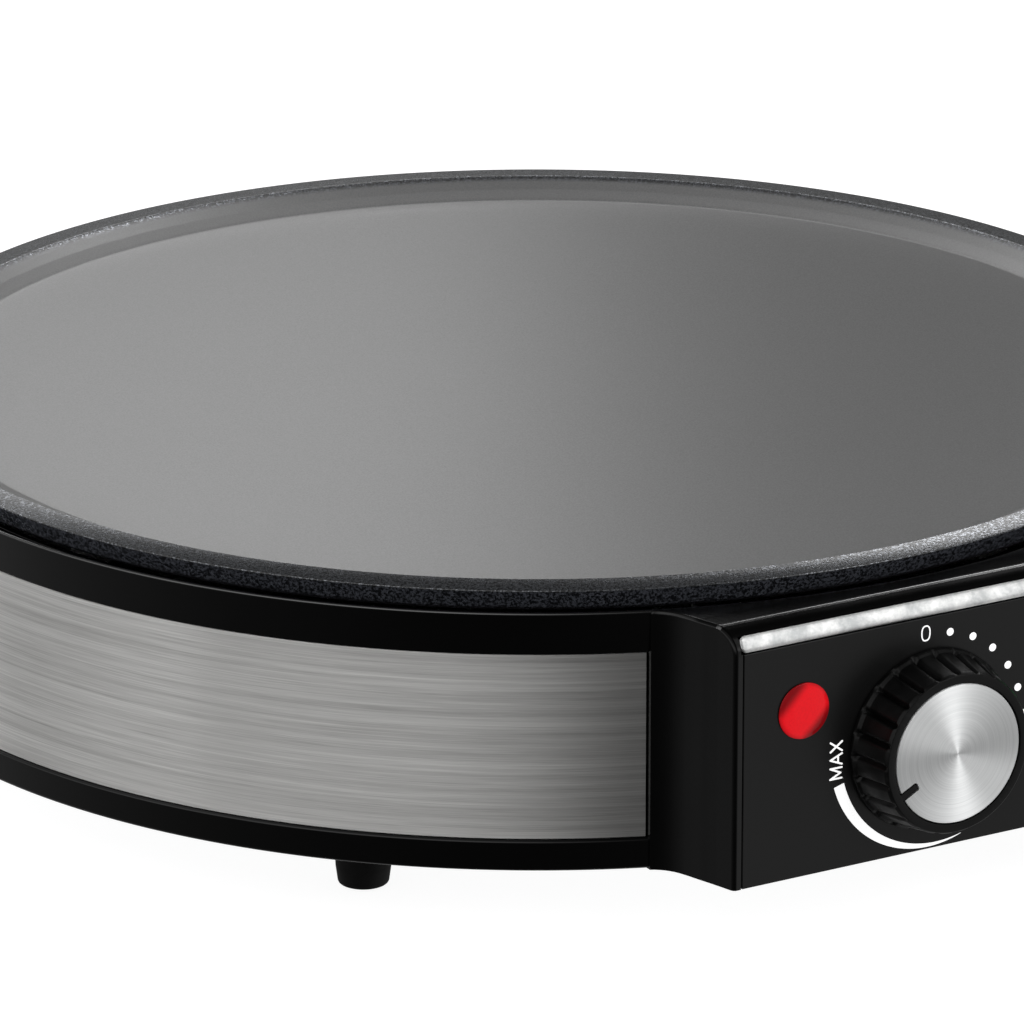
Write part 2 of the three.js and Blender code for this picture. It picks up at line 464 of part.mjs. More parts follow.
// ---------------------------------------------------------------- bottom cover, feet and screws
{
  // follows the inside of the drum and of the control box, a little clear of both
  const round = circle(WALL_IN_R - 0.5, 0, 0, SEG);
  const z0 = COVER_Z, z1 = COVER_Z + COVER_T;
  let c = solid(prismZ(round, z0, z1));
  const inset = [[45.9, -159.1], [49.9, -147.4], [49.9, -136.0]];
  c = c.add(solid(prismZ([...inset, ...mirrorX(inset)], z0, z1)));
  for (let i = 0; i < 10; i++) {
    c = c.subtract(solid(new THREE.BoxGeometry(30, 5, 10).translate(62, 0, z0).rotateZ((i * 36 + 18) * D)));
  }
  for (const sx of [-1, 1]) for (const sy of [-1, 1]) c = c.subtract(solid(cylZ(2.1, sx * FOOT_X, sy * FOOT_Y, 10, 20, 8)));
  for (const s of [-1, 1]) c = c.subtract(solid(cylZ(2.0, s * 39.5, -152.5, 10, 20, 8)));
  add('bottom_cover', geometry(c), 'sheet');
  const spots = [[-1, -1], [1, -1], [1, 1], [-1, 1]];
  spots.forEach(([sx, sy], i) => {
    const x = sx * FOOT_X, y = sy * FOOT_Y;
    add(`foot_${i + 1}`, latheZ([
      [3.8, 0], [5.5, 0], [5.95, 0.5], [6.5, COVER_Z - GAP], [1.9, COVER_Z - GAP], [1.9, 6.0], [3.8, 6.0],
    ], 12).translate(x, y, 0), 'rubber');
    add(`foot_screw_${i + 1}`, latheZ([[0, 3.4], [2.6, 3.4], [3.3, 4.0], [3.3, 5.7], [1.6, 5.7], [1.6, 27], [0, 28]], 8).translate(x, y, 0), 'zinc');
  });
  [-1, 1].forEach((s, i) => {
    add(`cover_screw_${i + 1}`, latheZ([[0, 13.2], [2.4, 13.4], [3.0, 14.0], [3.0, 15.3], [1.4, 15.3], [1.4, 26], [0, 27]], 8).translate(s * 39.5, -152.5, 0), 'zinc');
  });
}

export default group;
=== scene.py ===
import bpy, bmesh, math
from mathutils import Vector, Matrix, noise


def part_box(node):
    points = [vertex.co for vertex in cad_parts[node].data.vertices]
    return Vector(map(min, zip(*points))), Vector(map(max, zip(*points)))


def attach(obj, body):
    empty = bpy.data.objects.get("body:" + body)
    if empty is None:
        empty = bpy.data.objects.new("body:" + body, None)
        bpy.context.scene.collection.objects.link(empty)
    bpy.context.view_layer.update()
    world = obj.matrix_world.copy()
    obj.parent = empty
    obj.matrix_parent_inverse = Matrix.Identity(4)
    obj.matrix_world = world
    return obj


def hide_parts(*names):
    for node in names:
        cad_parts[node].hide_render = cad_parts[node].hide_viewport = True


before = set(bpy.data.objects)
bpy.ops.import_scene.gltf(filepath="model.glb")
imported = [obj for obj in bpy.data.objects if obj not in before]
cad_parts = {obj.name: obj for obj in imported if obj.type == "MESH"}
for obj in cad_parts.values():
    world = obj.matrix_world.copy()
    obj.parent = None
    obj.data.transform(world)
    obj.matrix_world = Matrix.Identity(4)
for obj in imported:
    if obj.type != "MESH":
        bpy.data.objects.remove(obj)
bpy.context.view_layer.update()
scene = bpy.context.scene

# ------------------------------------------------------------------ where the frame is, in millimetres
MM = 0.001
_p_lo, _p_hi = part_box("cooking_plate")
_h_lo, _h_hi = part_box("housing_shell")
_f_lo, _f_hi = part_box("front_panel")
_k_lo, _k_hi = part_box("knob_body")
_c_lo, _c_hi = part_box("knob_cap")
_b_lo, _b_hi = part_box("steel_band")
AX = (_p_lo.x + _p_hi.x) / 2
AY = (_p_lo.y + _p_hi.y) / 2
CREST = _p_hi.z / MM                       # crest of the plate's lip
PLATE_R = (_p_hi.x - _p_lo.x) / 2 / MM
RING_R = (_h_hi.x - _h_lo.x) / 2 / MM
RING_TOP = _h_hi.z / MM
BASE = _h_lo.z / MM
PANEL_N = (AY - _f_lo.y) / MM              # panel face ahead of the plate's axis
PANEL_HALF = (_f_hi.x - _f_lo.x) / 2 / MM
STRIP_HALF = 47.2
KNOB_X = ((_k_lo.x + _k_hi.x) / 2 - AX) / MM
KNOB_Z = (_c_lo.z + _c_hi.z) / 2 / MM
KNOB_R = (_k_hi.x - _k_lo.x) / 2 / MM
KNOB_H = (AY - _k_lo.y) / MM - PANEL_N     # panel face to the knob's front
CAP_R = (_c_hi.z - _c_lo.z) / 2 / MM
BAND_R = (_b_hi.x - _b_lo.x) / 2 / MM
BAND_LO, BAND_HI = _b_lo.z / MM, _b_hi.z / MM
_g_lo, _g_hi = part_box("cord_gland")
GL = (_g_hi.y - AY) / MM
GLAND_Z = (_g_lo.z + _g_hi.z) / 2 / MM
DECK = 72.6
EDGE_R = 6.2
ROUND_END = 66.0     # the round stops here, short of the deck, in degrees
ARC_N, ARC_Z = PANEL_N - EDGE_R, DECK - EDGE_R
LENS_X, LENS_Z, LENS_R = 31.8, 51.8, 6.1
POINTER = math.radians(208)
STUD_R, STUD_DEG = 114.0, (60, 180, 300)
FOOT_XY = [(-95.5, -88.0), (95.5, -88.0), (95.5, 88.0), (-95.5, 88.0)]


def P(x, y, z):
    """A point given in millimetres about the plate's axis, in the frame's metres."""
    return Vector((x * MM + AX, y * MM + AY, z * MM))


# ------------------------------------------------------------------ mesh helpers
def fillet(points, closed=True, steps=5):
    """Rounds the corners of a 2-D line; a point is (a, b) or (a, b, radius)."""
    out, n = [], len(points)
    for i, p in enumerate(points):
        rad = p[2] if len(p) > 2 else 0.0
        if rad <= 0 or (not closed and i in (0, n - 1)):
            out.append((p[0], p[1]))
            continue
        q, a, c = Vector(p[:2]), Vector(points[i - 1][:2]), Vector(points[(i + 1) % n][:2])
        u, v = a - q, c - q
        lu, lv = u.length, v.length
        u, v = u / lu, v / lv
        ang = math.acos(max(-1.0, min(1.0, u.dot(v))))
        if ang > math.pi - 1e-3:
            out.append((p[0], p[1]))
            continue
        d, m = rad / math.tan(ang / 2), min(lu, lv) * 0.49
        if d > m:
            rad, d = rad * m / d, m
        s, e = q + u * d, q + v * d
        cen = q + (u + v).normalized() * (rad / math.sin(ang / 2))
        a0 = math.atan2(s.y - cen.y, s.x - cen.x)
        a1 = math.atan2(e.y - cen.y, e.x - cen.x)
        da = (a1 - a0 + math.pi) % (2 * math.pi) - math.pi
        for k in range(steps + 1):
            t = a0 + da * k / steps
            out.append((cen.x + rad * math.cos(t), cen.y + rad * math.sin(t)))
    return out


def finish_mesh(name, bm, sharp=35, merge=1e-7, weighted=False):
    bmesh.ops.remove_doubles(bm, verts=bm.verts, dist=merge)
    bmesh.ops.recalc_face_normals(bm, faces=bm.faces)
    me = bpy.data.meshes.new(name)
    bm.to_mesh(me)
    bm.free()
    ob = bpy.data.objects.new(name, me)
    scene.collection.objects.link(ob)
    smooth(ob, sharp, weighted)
    return ob


def smooth(ob, sharp=35, weighted=False):
    me = ob.data
    me.polygons.foreach_set("use_smooth", [True] * len(me.polygons))
    me.set_sharp_from_angle(angle=math.radians(sharp))
    if weighted:
        m = ob.modifiers.new("weighted", "WEIGHTED_NORMAL")
        m.keep_sharp = True
        m.weight = 60


def loop_faces(bm, a, b):
    """Quads between two closed rings of vertices; a ring of one vertex is a pole."""
    n = max(len(a), len(b))
    for i in range(n):
        j = (i + 1) % n
        if len(a) == 1 and len(b) == 1:
            continue
        if len(a) == 1:
            bm.faces.new((a[0], b[i], b[j]))
        elif len(b) == 1:
            bm.faces.new((a[i], a[j], b[0]))
        else:
            bm.faces.new((a[i], a[j], b[j], b[i]))


def lathe_bm(prof, segs=192, closed=True, front=False, cx=0.0, cz=0.0, wobble=None, bm=None):
    """Revolves (radius, height) about the plate's axis or a line beside it, or with front=True (radius, distance ahead) about a line
    along -Y. Works in millimetres. wobble(radius, height, angle) may change the radius."""
    bm = bm or bmesh.new()
    rings = []
    for r, h in prof:
        if r < 1e-6:
            rings.append([bm.verts.new(P(cx, -h, cz) if front else P(cx, cz, h))])
            continue
        ring = []
        for i in range(segs):
            a = 2 * math.pi * i / segs
            rr = wobble(r, h, a) if wobble else r
            x, s = rr * math.cos(a), rr * math.sin(a)
            ring.append(bm.verts.new(P(cx + x, -h, cz + s) if front else P(cx + x, cz + s, h)))
        rings.append(ring)
    for a, b in zip(rings, rings[1:]):
        loop_faces(bm, a, b)
    if closed:
        loop_faces(bm, rings[-1], rings[0])
    return bm


def lathe(name, prof, segs=192, closed=True, sharp=35, steps=5, **kw):
    on_axis = prof[0][0] < 1e-6 and prof[-1][0] < 1e-6
    return finish_mesh(name, lathe_bm(fillet(prof, closed and not on_axis, steps), segs, closed and not on_axis, **kw), sharp)


def prism(poly, fn0, fn1, bm=None):
    """A closed polygon carried from one place to another: fn0 and fn1 turn a 2-D point into a place."""
    bm = bm or bmesh.new()
    a = [bm.verts.new(fn0(p)) for p in poly]
    b = [bm.verts.new(fn1(p)) for p in poly]
    loop_faces(bm, a, b)
    bm.faces.new(list(reversed(a)))
    bm.faces.new(b)
    return bm


def prism_x(poly, x0, x1, bm=None):
    """(distance ahead, height) polygon carried along X."""
    return prism(poly, lambda p: P(x0, -p[0], p[1]), lambda p: P(x1, -p[0], p[1]), bm)


def prism_z(poly, z0, z1, bm=None):
    """(x, y) polygon carried along Z."""
    return prism(poly, lambda p: P(p[0], p[1], z0), lambda p: P(p[0], p[1], z1), bm)


def prism_f(poly, n0, n1, bm=None):
    """(x, z) polygon carried along -Y."""
    return prism(poly, lambda p: P(p[0], -n0, p[1]), lambda p: P(p[0], -n1, p[1]), bm)


def circle(r, x=0.0, y=0.0, n=48, a0=0.0):
    return [(x + r * math.cos(a0 + 2 * math.pi * i / n), y + r * math.sin(a0 + 2 * math.pi * i / n)) for i in range(n)]


def front_arc(r, d0, d1, n):
    return [(ARC_N + r * math.cos(math.radians(d0 + (d1 - d0) * i / n)),
             ARC_Z + r * math.sin(math.radians(d0 + (d1 - d0) * i / n))) for i in range(n + 1)]


def boolean(ob, cutters, op="DIFFERENCE", solver="MANIFOLD", self_=False):
    """Applies cutters to ob one by one, and removes them."""
    for c in cutters:
        m = ob.modifiers.new("bool", "BOOLEAN")
        m.operation, m.solver, m.object = op, solver, c
        if solver == "EXACT":
            m.use_self = self_
        dg = bpy.context.evaluated_depsgraph_get()
        new = bpy.data.meshes.new_from_object(ob.evaluated_get(dg))
        ob.modifiers.remove(m)
        old = ob.data
        ob.data = new
        bpy.data.meshes.remove(old)
        mesh = c.data
        bpy.data.objects.remove(c)
        bpy.data.meshes.remove(mesh)
    return ob


def tool(bm):
    return finish_mesh("tool", bm)


def bevel(ob, width, segs=3, angle=50):
    m = ob.modifiers.new("bevel", "BEVEL")
    m.width, m.segments, m.limit_method, m.angle_limit = width * MM, segs, "ANGLE", math.radians(angle)
    m.harden_normals = False
    dg = bpy.context.evaluated_depsgraph_get()
    new = bpy.data.meshes.new_from_object(ob.evaluated_get(dg))
    ob.modifiers.clear()
    old = ob.data
    ob.data = new
    bpy.data.meshes.remove(old)
    return ob


# ------------------------------------------------------------------ materials
class Mat:
    """A node material, built by short calls. Values that are the same all over are set on the shader's sockets."""

    def __init__(self, name, color=(0.5, 0.5, 0.5), rough=0.5, metal=0.0, **kw):
        self.m = bpy.data.materials.new(name)
        self.m.use_nodes = True
        self.nt = self.m.node_tree
        self.nt.nodes.clear()
        self.out = self.nt.nodes.new("ShaderNodeOutputMaterial")
        self.b = self.nt.nodes.new("ShaderNodeBsdfPrincipled")
        self.nt.links.new(self.b.outputs[0], self.out.inputs["Surface"])
        self.b.inputs["Base Color"].default_value = (*color, 1)
        self.b.inputs["Roughness"].default_value = rough
        self.b.inputs["Metallic"].default_value = metal
        for k, v in kw.items():
            self.b.inputs[k.replace("_", " ")].default_value = v
        self.m.diffuse_color = (*color, 1)
        self.coord = self.nt.nodes.new("ShaderNodeTexCoord").outputs["Object"]

    def node(self, kind, **props):
        n = self.nt.nodes.new(kind)
        for k, v in props.items():
            setattr(n, k, v)
        return n

    def link(self, a, b):
        self.nt.links.new(a, b)

    def set(self, node, socket, v):
        s = node.inputs[socket]
        if isinstance(v, bpy.types.NodeSocket):
            self.link(v, s)
        else:
            s.default_value = v

    def math(self, op, a, b=None, c=None, clamp=False):
        n = self.node("ShaderNodeMath", operation=op, use_clamp=clamp)
        self.set(n, 0, a)
        if b is not None:
            self.set(n, 1, b)
        if c is not None:
            self.set(n, 2, c)
        return n.outputs[0]

    def vmath(self, op, a, b=None):
        n = self.node("ShaderNodeVectorMath", operation=op)
        self.set(n, 0, a)
        if b is not None:
            self.set(n, 1, b)
        return n.outputs["Value" if op in ("LENGTH", "DOT_PRODUCT", "DISTANCE") else "Vector"]

    def split(self, v):
        n = self.node("ShaderNodeSeparateXYZ")
        self.link(v, n.inputs[0])
        return n.outputs

    def combine(self, x, y, z):
        n = self.node("ShaderNodeCombineXYZ")
        for i, v in enumerate((x, y, z)):
            self.set(n, i, v)
        return n.outputs[0]

    def noise(self, vec=None, scale=100.0, detail=3.0, rough=0.5, distortion=0.0, dims="3D"):
        n = self.node("ShaderNodeTexNoise", noise_dimensions=dims)
        self.link(vec or self.coord, n.inputs["Vector"])
        n.inputs["Scale"].default_value = scale
        n.inputs["Detail"].default_value = detail
        n.inputs["Roughness"].default_value = rough
        n.inputs["Distortion"].default_value = distortion
        return n.outputs["Fac"]

    def voronoi(self, vec=None, scale=100.0, feature="F1", out="Distance"):
        n = self.node("ShaderNodeTexVoronoi", feature=feature)
        self.link(vec or self.coord, n.inputs["Vector"])
        n.inputs["Scale"].default_value = scale
        return n.outputs[out]

    def ramp(self, fac, stops, interp="LINEAR"):
        n = self.node("ShaderNodeValToRGB")
        n.color_ramp.interpolation = interp
        e = n.color_ramp.elements
        while len(e) < len(stops):
            e.new(0.5)
        for el, (pos, col) in zip(e, stops):
            el.position = pos
            el.color = (*col, 1) if hasattr(col, "__len__") else (col, col, col, 1)
        self.link(fac, n.inputs[0])
        return n.outputs[0]

    def remap(self, v, a0, a1, b0, b1, smoothstep=False):
        n = self.node("ShaderNodeMapRange", interpolation_type="SMOOTHSTEP" if smoothstep else "LINEAR")
        self.link(v, n.inputs[0])
        for i, x in enumerate((a0, a1, b0, b1)):
            n.inputs[i + 1].default_value = x
        return n.outputs[0]

    def mix(self, fac, a, b, blend="MIX"):
        n = self.node("ShaderNodeMix", data_type="RGBA", blend_type=blend)
        self.set(n, "Factor", fac)
        for key, v in (("A", a), ("B", b)):
            s = [i for i in n.inputs if i.name == key and i.type == "RGBA"][0]
            if isinstance(v, bpy.types.NodeSocket):
                self.link(v, s)
            else:
                s.default_value = (*v, 1) if len(v) == 3 else v
        return [o for o in n.outputs if o.type == "RGBA"][0]

    def color(self, socket):
        self.link(socket, self.b.inputs["Base Color"])

    def rough(self, socket):
        self.link(socket, self.b.inputs["Roughness"])

    def bump(self, height, strength=0.2, distance=0.0001, normal=None):
        n = self.node("ShaderNodeBump")
        n.inputs["Strength"].default_value = strength
        n.inputs["Distance"].default_value = distance
        self.link(height, n.inputs["Height"])
        if normal is not None:
            self.link(normal, n.inputs["Normal"])
        self.link(n.outputs[0], self.b.inputs["Normal"])
        return n.outputs[0]


def lin(*rgb):
    """sRGB 0 to 255 as linear."""
    return tuple(((c / 255) / 12.92 if c / 255 <= 0.04045 else ((c / 255 + 0.055) / 1.055) ** 2.4) for c in rgb)


def gray(c):
    return lin(c, c, c)


def polar_coords(m):
    """(angle round the plate's axis in radians, radius in metres, height in metres) from object coordinates."""
    x, y, z = m.split(m.coord)
    x = m.math("SUBTRACT", x, AX)
    y = m.math("SUBTRACT", y, AY)
    ang = m.math("ARCTAN2", x, y)
    r = m.math("SQRT", m.math("ADD", m.math("MULTIPLY", x, x), m.math("MULTIPLY", y, y)))
    return ang, r, z


def mat_plate():
    m = Mat("plate_coating", gray(62), 0.42, 0.0, Specular_IOR_Level=0.6)
    ang, r, z = polar_coords(m)
    fine = m.noise(scale=2600, detail=2, rough=0.6)
    mid = m.noise(scale=900, detail=3, rough=0.6)
    cloud = m.noise(scale=14, detail=4, rough=0.55)
    speck = m.remap(m.noise(scale=1500, detail=2, rough=0.7), 0.44, 0.64, 0.0, 1.0, True)
    # the coarse speckle shows on the lip and the side
    rim = m.remap(r, 0.1436, 0.1451, 0.0, 1.0, True)
    base = m.mix(cloud, gray(64), gray(72))
    base = m.mix(m.remap(fine, 0.36, 0.64, 0.0, 1.0), base, gray(88))
    # the lip's side is painted lighter than its crest, one coating in two shades: painted light on the side, painted
    # shade on the crest
    top = m.remap(z, (CREST - 0.9) * MM, (CREST - 0.5) * MM, 0.0, 1.0, True)
    rimc = m.mix(speck, m.mix(top, lin(19, 20, 23), lin(13, 14, 16)), m.mix(top, lin(108, 111, 120), lin(114, 116, 120)))
    # the lip's inner slope is painted lighter all round: painted light, standing in for the light falling on the far
    # slope
    base = m.mix(m.remap(r, 0.1376, 0.1392, 0.0, 0.4, True), base, gray(104))
    m.color(m.mix(rim, base, rimc))
    m.rough(m.mix(rim, m.mix(mid, gray(157), gray(167)), m.mix(speck, gray(156), gray(138))))
    m.link(m.math("MULTIPLY", m.math("MULTIPLY", rim, speck), m.remap(z, (CREST - 1.2) * MM, (CREST - 0.5) * MM, 0.55, 0.92)), m.b.inputs["Metallic"])
    grit = m.noise(scale=2100, detail=2, rough=0.6)
    h = m.math("ADD", m.math("MULTIPLY", fine, 0.5), m.math("ADD", m.math("MULTIPLY", mid, 0.5), m.math("MULTIPLY", m.math("MULTIPLY", grit, rim), 2.2)))
    # the crest is ever so slightly crowned outwards
    x, y, _ = m.split(m.coord)
    out = m.vmath("NORMALIZE", m.combine(m.math("SUBTRACT", x, AX), m.math("SUBTRACT", y, AY), 0.0))
    flat = m.math("MULTIPLY", m.remap(z, (CREST - 0.9) * MM, (CREST - 0.5) * MM, 0.0, 1.0, True), m.remap(r, 0.1450, 0.1455, 0.0, 1.0, True))
    crest = m.math("MULTIPLY", flat, m.remap(r, 0.1455, 0.1525, 0.22, 0.46))
    n = m.node("ShaderNodeVectorMath", operation="SCALE")
    m.link(out, n.inputs[0])
    m.link(crest, n.inputs["Scale"])
    tilted = m.vmath("NORMALIZE", m.vmath("ADD", m.node("ShaderNodeNewGeometry").outputs["Normal"], n.outputs[0]))
    m.bump(h, 0.30, 0.00007, tilted)
    return m.m


def mat_black(name="housing_gloss", base=2, rough=0.17):
    m = Mat(name, gray(base), rough, 0.0, Specular_IOR_Level=0.3)
    peel = m.noise(scale=190, detail=2, rough=0.5)
    micro = m.noise(scale=3800, detail=2, rough=0.5)
    smear = m.noise(scale=22, detail=5, rough=0.6)
    _, r, z = polar_coords(m)
    edge = m.math("MULTIPLY", m.remap(z, (RING_TOP - 0.6) * MM, (RING_TOP - 0.3) * MM, 0.0, 1.0), m.math("LESS_THAN", m.math("ABSOLUTE", m.math("SUBTRACT", r, 0.1542)), 0.0008))
    ahead = m.math("SUBTRACT", AY, m.split(m.coord)[1])
    up = m.remap(m.split(m.node("ShaderNodeNewGeometry").outputs["Normal"])[2], 0.12, 0.45, 0.0, 1.0, True)
    box = m.math("MULTIPLY", m.math("MULTIPLY", m.remap(ahead, 0.1515, 0.1540, 0.0, 1.0, True), m.math("GREATER_THAN", z, 0.066)), up)      # satin top of the control box
    line = m.math("MULTIPLY", m.math("LESS_THAN", m.math("ABSOLUTE", m.math("SUBTRACT", ahead, 0.1591)), 0.0006), m.math("GREATER_THAN", z, 0.0718))
    m.link(m.math("MULTIPLY_ADD", line, 0.9, m.math("MULTIPLY_ADD", box, -0.24, m.math("MULTIPLY_ADD", edge, 0.7, 0.3))), m.b.inputs["Specular IOR Level"])
    m.color(m.mix(smear, gray(base), gray(base + 3)))
    m.rough(m.remap(smear, 0.3, 0.7, rough * 0.8, rough * 1.35))
    m.bump(m.math("ADD", m.math("MULTIPLY", peel, 1.0), m.math("MULTIPLY", micro, 0.12)), 0.05, 0.00012)
    return m.m


def mat_band():
    m = Mat("brushed_band", (0.60, 0.59, 0.57), 0.40, 1.0, Anisotropic=1.0)
    ang, r, z = polar_coords(m)
    along = m.math("MULTIPLY", ang, 0.155)
    streak = lambda sx, sz, d: m.noise(m.combine(m.math("MULTIPLY", along, sx), m.math("MULTIPLY", z, sz), 0.0), 1.0, d, 0.65)
    long_ = streak(9.0, 900.0, 4)
    fine = streak(45.0, 4200.0, 3)
    band = streak(3.0, 260.0, 3)
    hair = streak(120.0, 9000.0, 2)
    s = m.math("ADD", m.math("MULTIPLY", long_, 0.45), m.math("ADD", m.math("MULTIPLY", fine, 0.35), m.math("MULTIPLY", band, 0.2)))
    c = m.ramp(m.remap(s, 0.34, 0.66, 0.0, 1.0), [(0.0, (0.36, 0.356, 0.35)), (0.5, (0.58, 0.576, 0.565)), (1.0, (0.82, 0.816, 0.80))])
    m.color(m.mix(m.remap(hair, 0.3, 0.7, 0.0, 0.35), c, (0.76, 0.75, 0.73)))
    m.rough(m.remap(s, 0.35, 0.65, 0.46, 0.37))
    m.bump(m.math("ADD", m.math("MULTIPLY", fine, 0.7), m.math("MULTIPLY", hair, 0.5)), 0.16, 0.00004)
    m.link(m.combine(0.0, 0.0, 1.0), m.b.inputs["Tangent"])      # brushed round the drum, so highlights stretch up and down
    return m.m


def mat_panel():
    m = Mat("panel_satin", gray(18), 0.34, 0.0, Specular_IOR_Level=0.2)
    micro = m.noise(scale=5200, detail=2, rough=0.6)
    smear = m.noise(scale=18, detail=5, rough=0.6)
    m.color(m.mix(smear, gray(16), gray(21)))
    m.rough(m.remap(smear, 0.3, 0.7, 0.30, 0.38))
    m.bump(micro, 0.10, 0.00003)
    return m.m


def mat_silver():
    m = Mat("silver_trim", (0.88, 0.88, 0.87), 0.3, 1.0)
    blot = m.noise(scale=210, detail=6, rough=0.68)
    grain = m.noise(scale=2600, detail=2, rough=0.6)
    m.color(m.mix(m.remap(blot, 0.38, 0.62, 0.0, 1.0), (0.45, 0.46, 0.46), (0.70, 0.70, 0.69)))
    m.rough(m.remap(blot, 0.3, 0.7, 0.50, 0.40))
    m.bump(m.math("ADD", m.math("MULTIPLY", blot, 0.8), m.math("MULTIPLY", grain, 0.25)), 0.12, 0.00008)
    return m.m


def mat_lens(name, dark, mid, glow):
    m = Mat(name, mid, 0.12, 0.0, Coat_Weight=0.05, Coat_Roughness=0.04, Specular_IOR_Level=0.1)
    x, y, z = m.split(m.coord)
    sx = -1 if "red" in name else 1
    dx = m.math("SUBTRACT", x, AX + sx * LENS_X * MM)
    dz = m.math("SUBTRACT", z, LENS_Z * MM)
    r = m.math("SQRT", m.math("ADD", m.math("MULTIPLY", dx, dx), m.math("MULTIPLY", dz, dz)))
    # dark crescents, upper left and lower right, and a darker rim are painted shade, in the colour and in the glow,
    # standing in for the dark cup behind the lens
    diag = m.math("ABSOLUTE", m.math("MULTIPLY", m.math("SUBTRACT", dz, dx), 0.7071))
    rim = m.remap(r, 0.0052, 0.0064, 0.0, 0.55, True)
    edge = m.math("MAXIMUM", rim, m.remap(diag, 0.0027, 0.0052, 0.0, 1.0, True))
    ribs = m.math("SINE", m.math("MULTIPLY", r, 9500.0))
    dust = m.noise(scale=2200, detail=2)
    c = m.mix(edge, mid, dark)
    c = m.mix(m.remap(dust, 0.4, 0.7, 0.0, 0.12), c, dark)
    m.color(c)
    m.link(m.mix(edge, glow, tuple(v * 0.25 for v in glow)), m.b.inputs["Emission Color"])
    m.b.inputs["Emission Strength"].default_value = 0.34
    m.rough(m.remap(dust, 0.3, 0.7, 0.10, 0.17))
    m.bump(ribs, 0.04, 0.00004)
    return m.m


def mat_knob():
    m = Mat("knob_satin", gray(4), 0.42, 0.0, Specular_IOR_Level=0.16)
    micro = m.noise(scale=3000, detail=3, rough=0.6)
    worn = m.noise(scale=420, detail=4, rough=0.6)
    geo = m.node("ShaderNodeNewGeometry")
    # painted highlight along the sharp ridges and rims, partly edge wear: convex edges are painted lighter by their
    # pointiness
    edge = m.remap(geo.outputs["Pointiness"], 0.515, 0.56, 0.0, 1.0)
    c = m.mix(worn, gray(1), gray(6))
    m.color(m.mix(m.math("MULTIPLY", edge, 0.22), c, gray(34)))
    m.rough(m.remap(worn, 0.3, 0.7, 0.36, 0.50))
    m.bump(m.math("ADD", m.math("MULTIPLY", micro, 0.5), m.math("MULTIPLY", worn, 0.4)), 0.16, 0.00006)
    return m.m


def mat_cap():
    m = Mat("spun_cap", (0.80, 0.81, 0.81), 0.56, 1.0, Anisotropic=0.85)
    x, y, z = m.split(m.coord)
    dx = m.math("SUBTRACT", x, AX + KNOB_X * MM)
    dz = m.math("SUBTRACT", z, KNOB_Z * MM)
    r = m.math("SQRT", m.math("ADD", m.math("MULTIPLY", dx, dx), m.math("MULTIPLY", dz, dz)))
    ang = m.math("ARCTAN2", dz, dx)
    rings = m.noise(m.combine(m.math("MULTIPLY", r, 9000.0), m.math("MULTIPLY", m.math("COSINE", ang), 0.35), m.math("MULTIPLY", m.math("SINE", ang), 0.35)), 1.0, 3, 0.6)
    rings2 = m.noise(m.combine(m.math("MULTIPLY", r, 2400.0), m.math("MULTIPLY", m.math("COSINE", ang), 0.2), m.math("MULTIPLY", m.math("SINE", ang), 0.2)), 1.0, 2, 0.5)
    s = m.math("ADD", m.math("MULTIPLY", rings, 0.6), m.math("MULTIPLY", rings2, 0.4))
    m.color(m.mix(m.remap(s, 0.35, 0.65, 0.0, 1.0), (0.80, 0.81, 0.81), (0.93, 0.94, 0.94)))
    m.rough(m.remap(s, 0.35, 0.65, 0.60, 0.52))
    m.bump(s, 0.10, 0.00003)
    geo = m.node("ShaderNodeNewGeometry")
    rel = m.vmath("SUBTRACT", geo.outputs["Position"], (AX + KNOB_X * MM, AY - PANEL_N * MM, KNOB_Z * MM))
    m.link(m.vmath("NORMALIZE", rel), m.b.inputs["Tangent"])      # turned on a lathe, so highlights stretch along the radius
    return m.m


def mat_rubber(name="foot_rubber", base=7, rough=0.72):
    m = Mat(name, gray(base), rough, 0.0, Specular_IOR_Level=0.15)
    g = m.noise(scale=2600, detail=3, rough=0.65)
    w = m.noise(scale=160, detail=4, rough=0.6)
    m.color(m.mix(m.remap(w, 0.3, 0.7, 0.0, 1.0), gray(base - 3), gray(base + 6)))
    m.rough(m.remap(w, 0.3, 0.7, rough - 0.10, rough + 0.08))
    m.bump(g, 0.30, 0.00008)
    return m.m


def mat_print():
    # the white ink glows a little: painted light that makes the print read brighter than its lighting gives
    m = Mat("printed_white", gray(236), 0.5, 0.0, Emission_Color=(1, 1, 1, 1), Emission_Strength=0.66)
    g = m.noise(scale=3500, detail=2)
    m.color(m.mix(m.remap(g, 0.35, 0.7, 0.0, 1.0), gray(228), gray(244)))
    m.rough(m.remap(g, 0.3, 0.7, 0.45, 0.6))
    m.bump(g, 0.08, 0.00003)
    return m.m


def mat_metal(name, col, rough, scale=700.0, spread=0.12, metal=1.0, bump=0.15):
    """Plain or plated metal with fine grain and soft staining."""
    m = Mat(name, col, rough, metal)
    g = m.noise(scale=scale, detail=4, rough=0.6)
    w = m.noise(scale=scale / 14, detail=4, rough=0.6)
    lo = tuple(c * (1 - spread) for c in col)
    hi = tuple(min(1.0, c * (1 + spread)) for c in col)
    m.color(m.mix(m.remap(w, 0.3, 0.7, 0.0, 1.0), lo, hi))
    m.rough(m.remap(g, 0.3, 0.7, max(0.05, rough - 0.07), rough + 0.1))
    m.bump(g, bump, 0.00006)
    return m.m


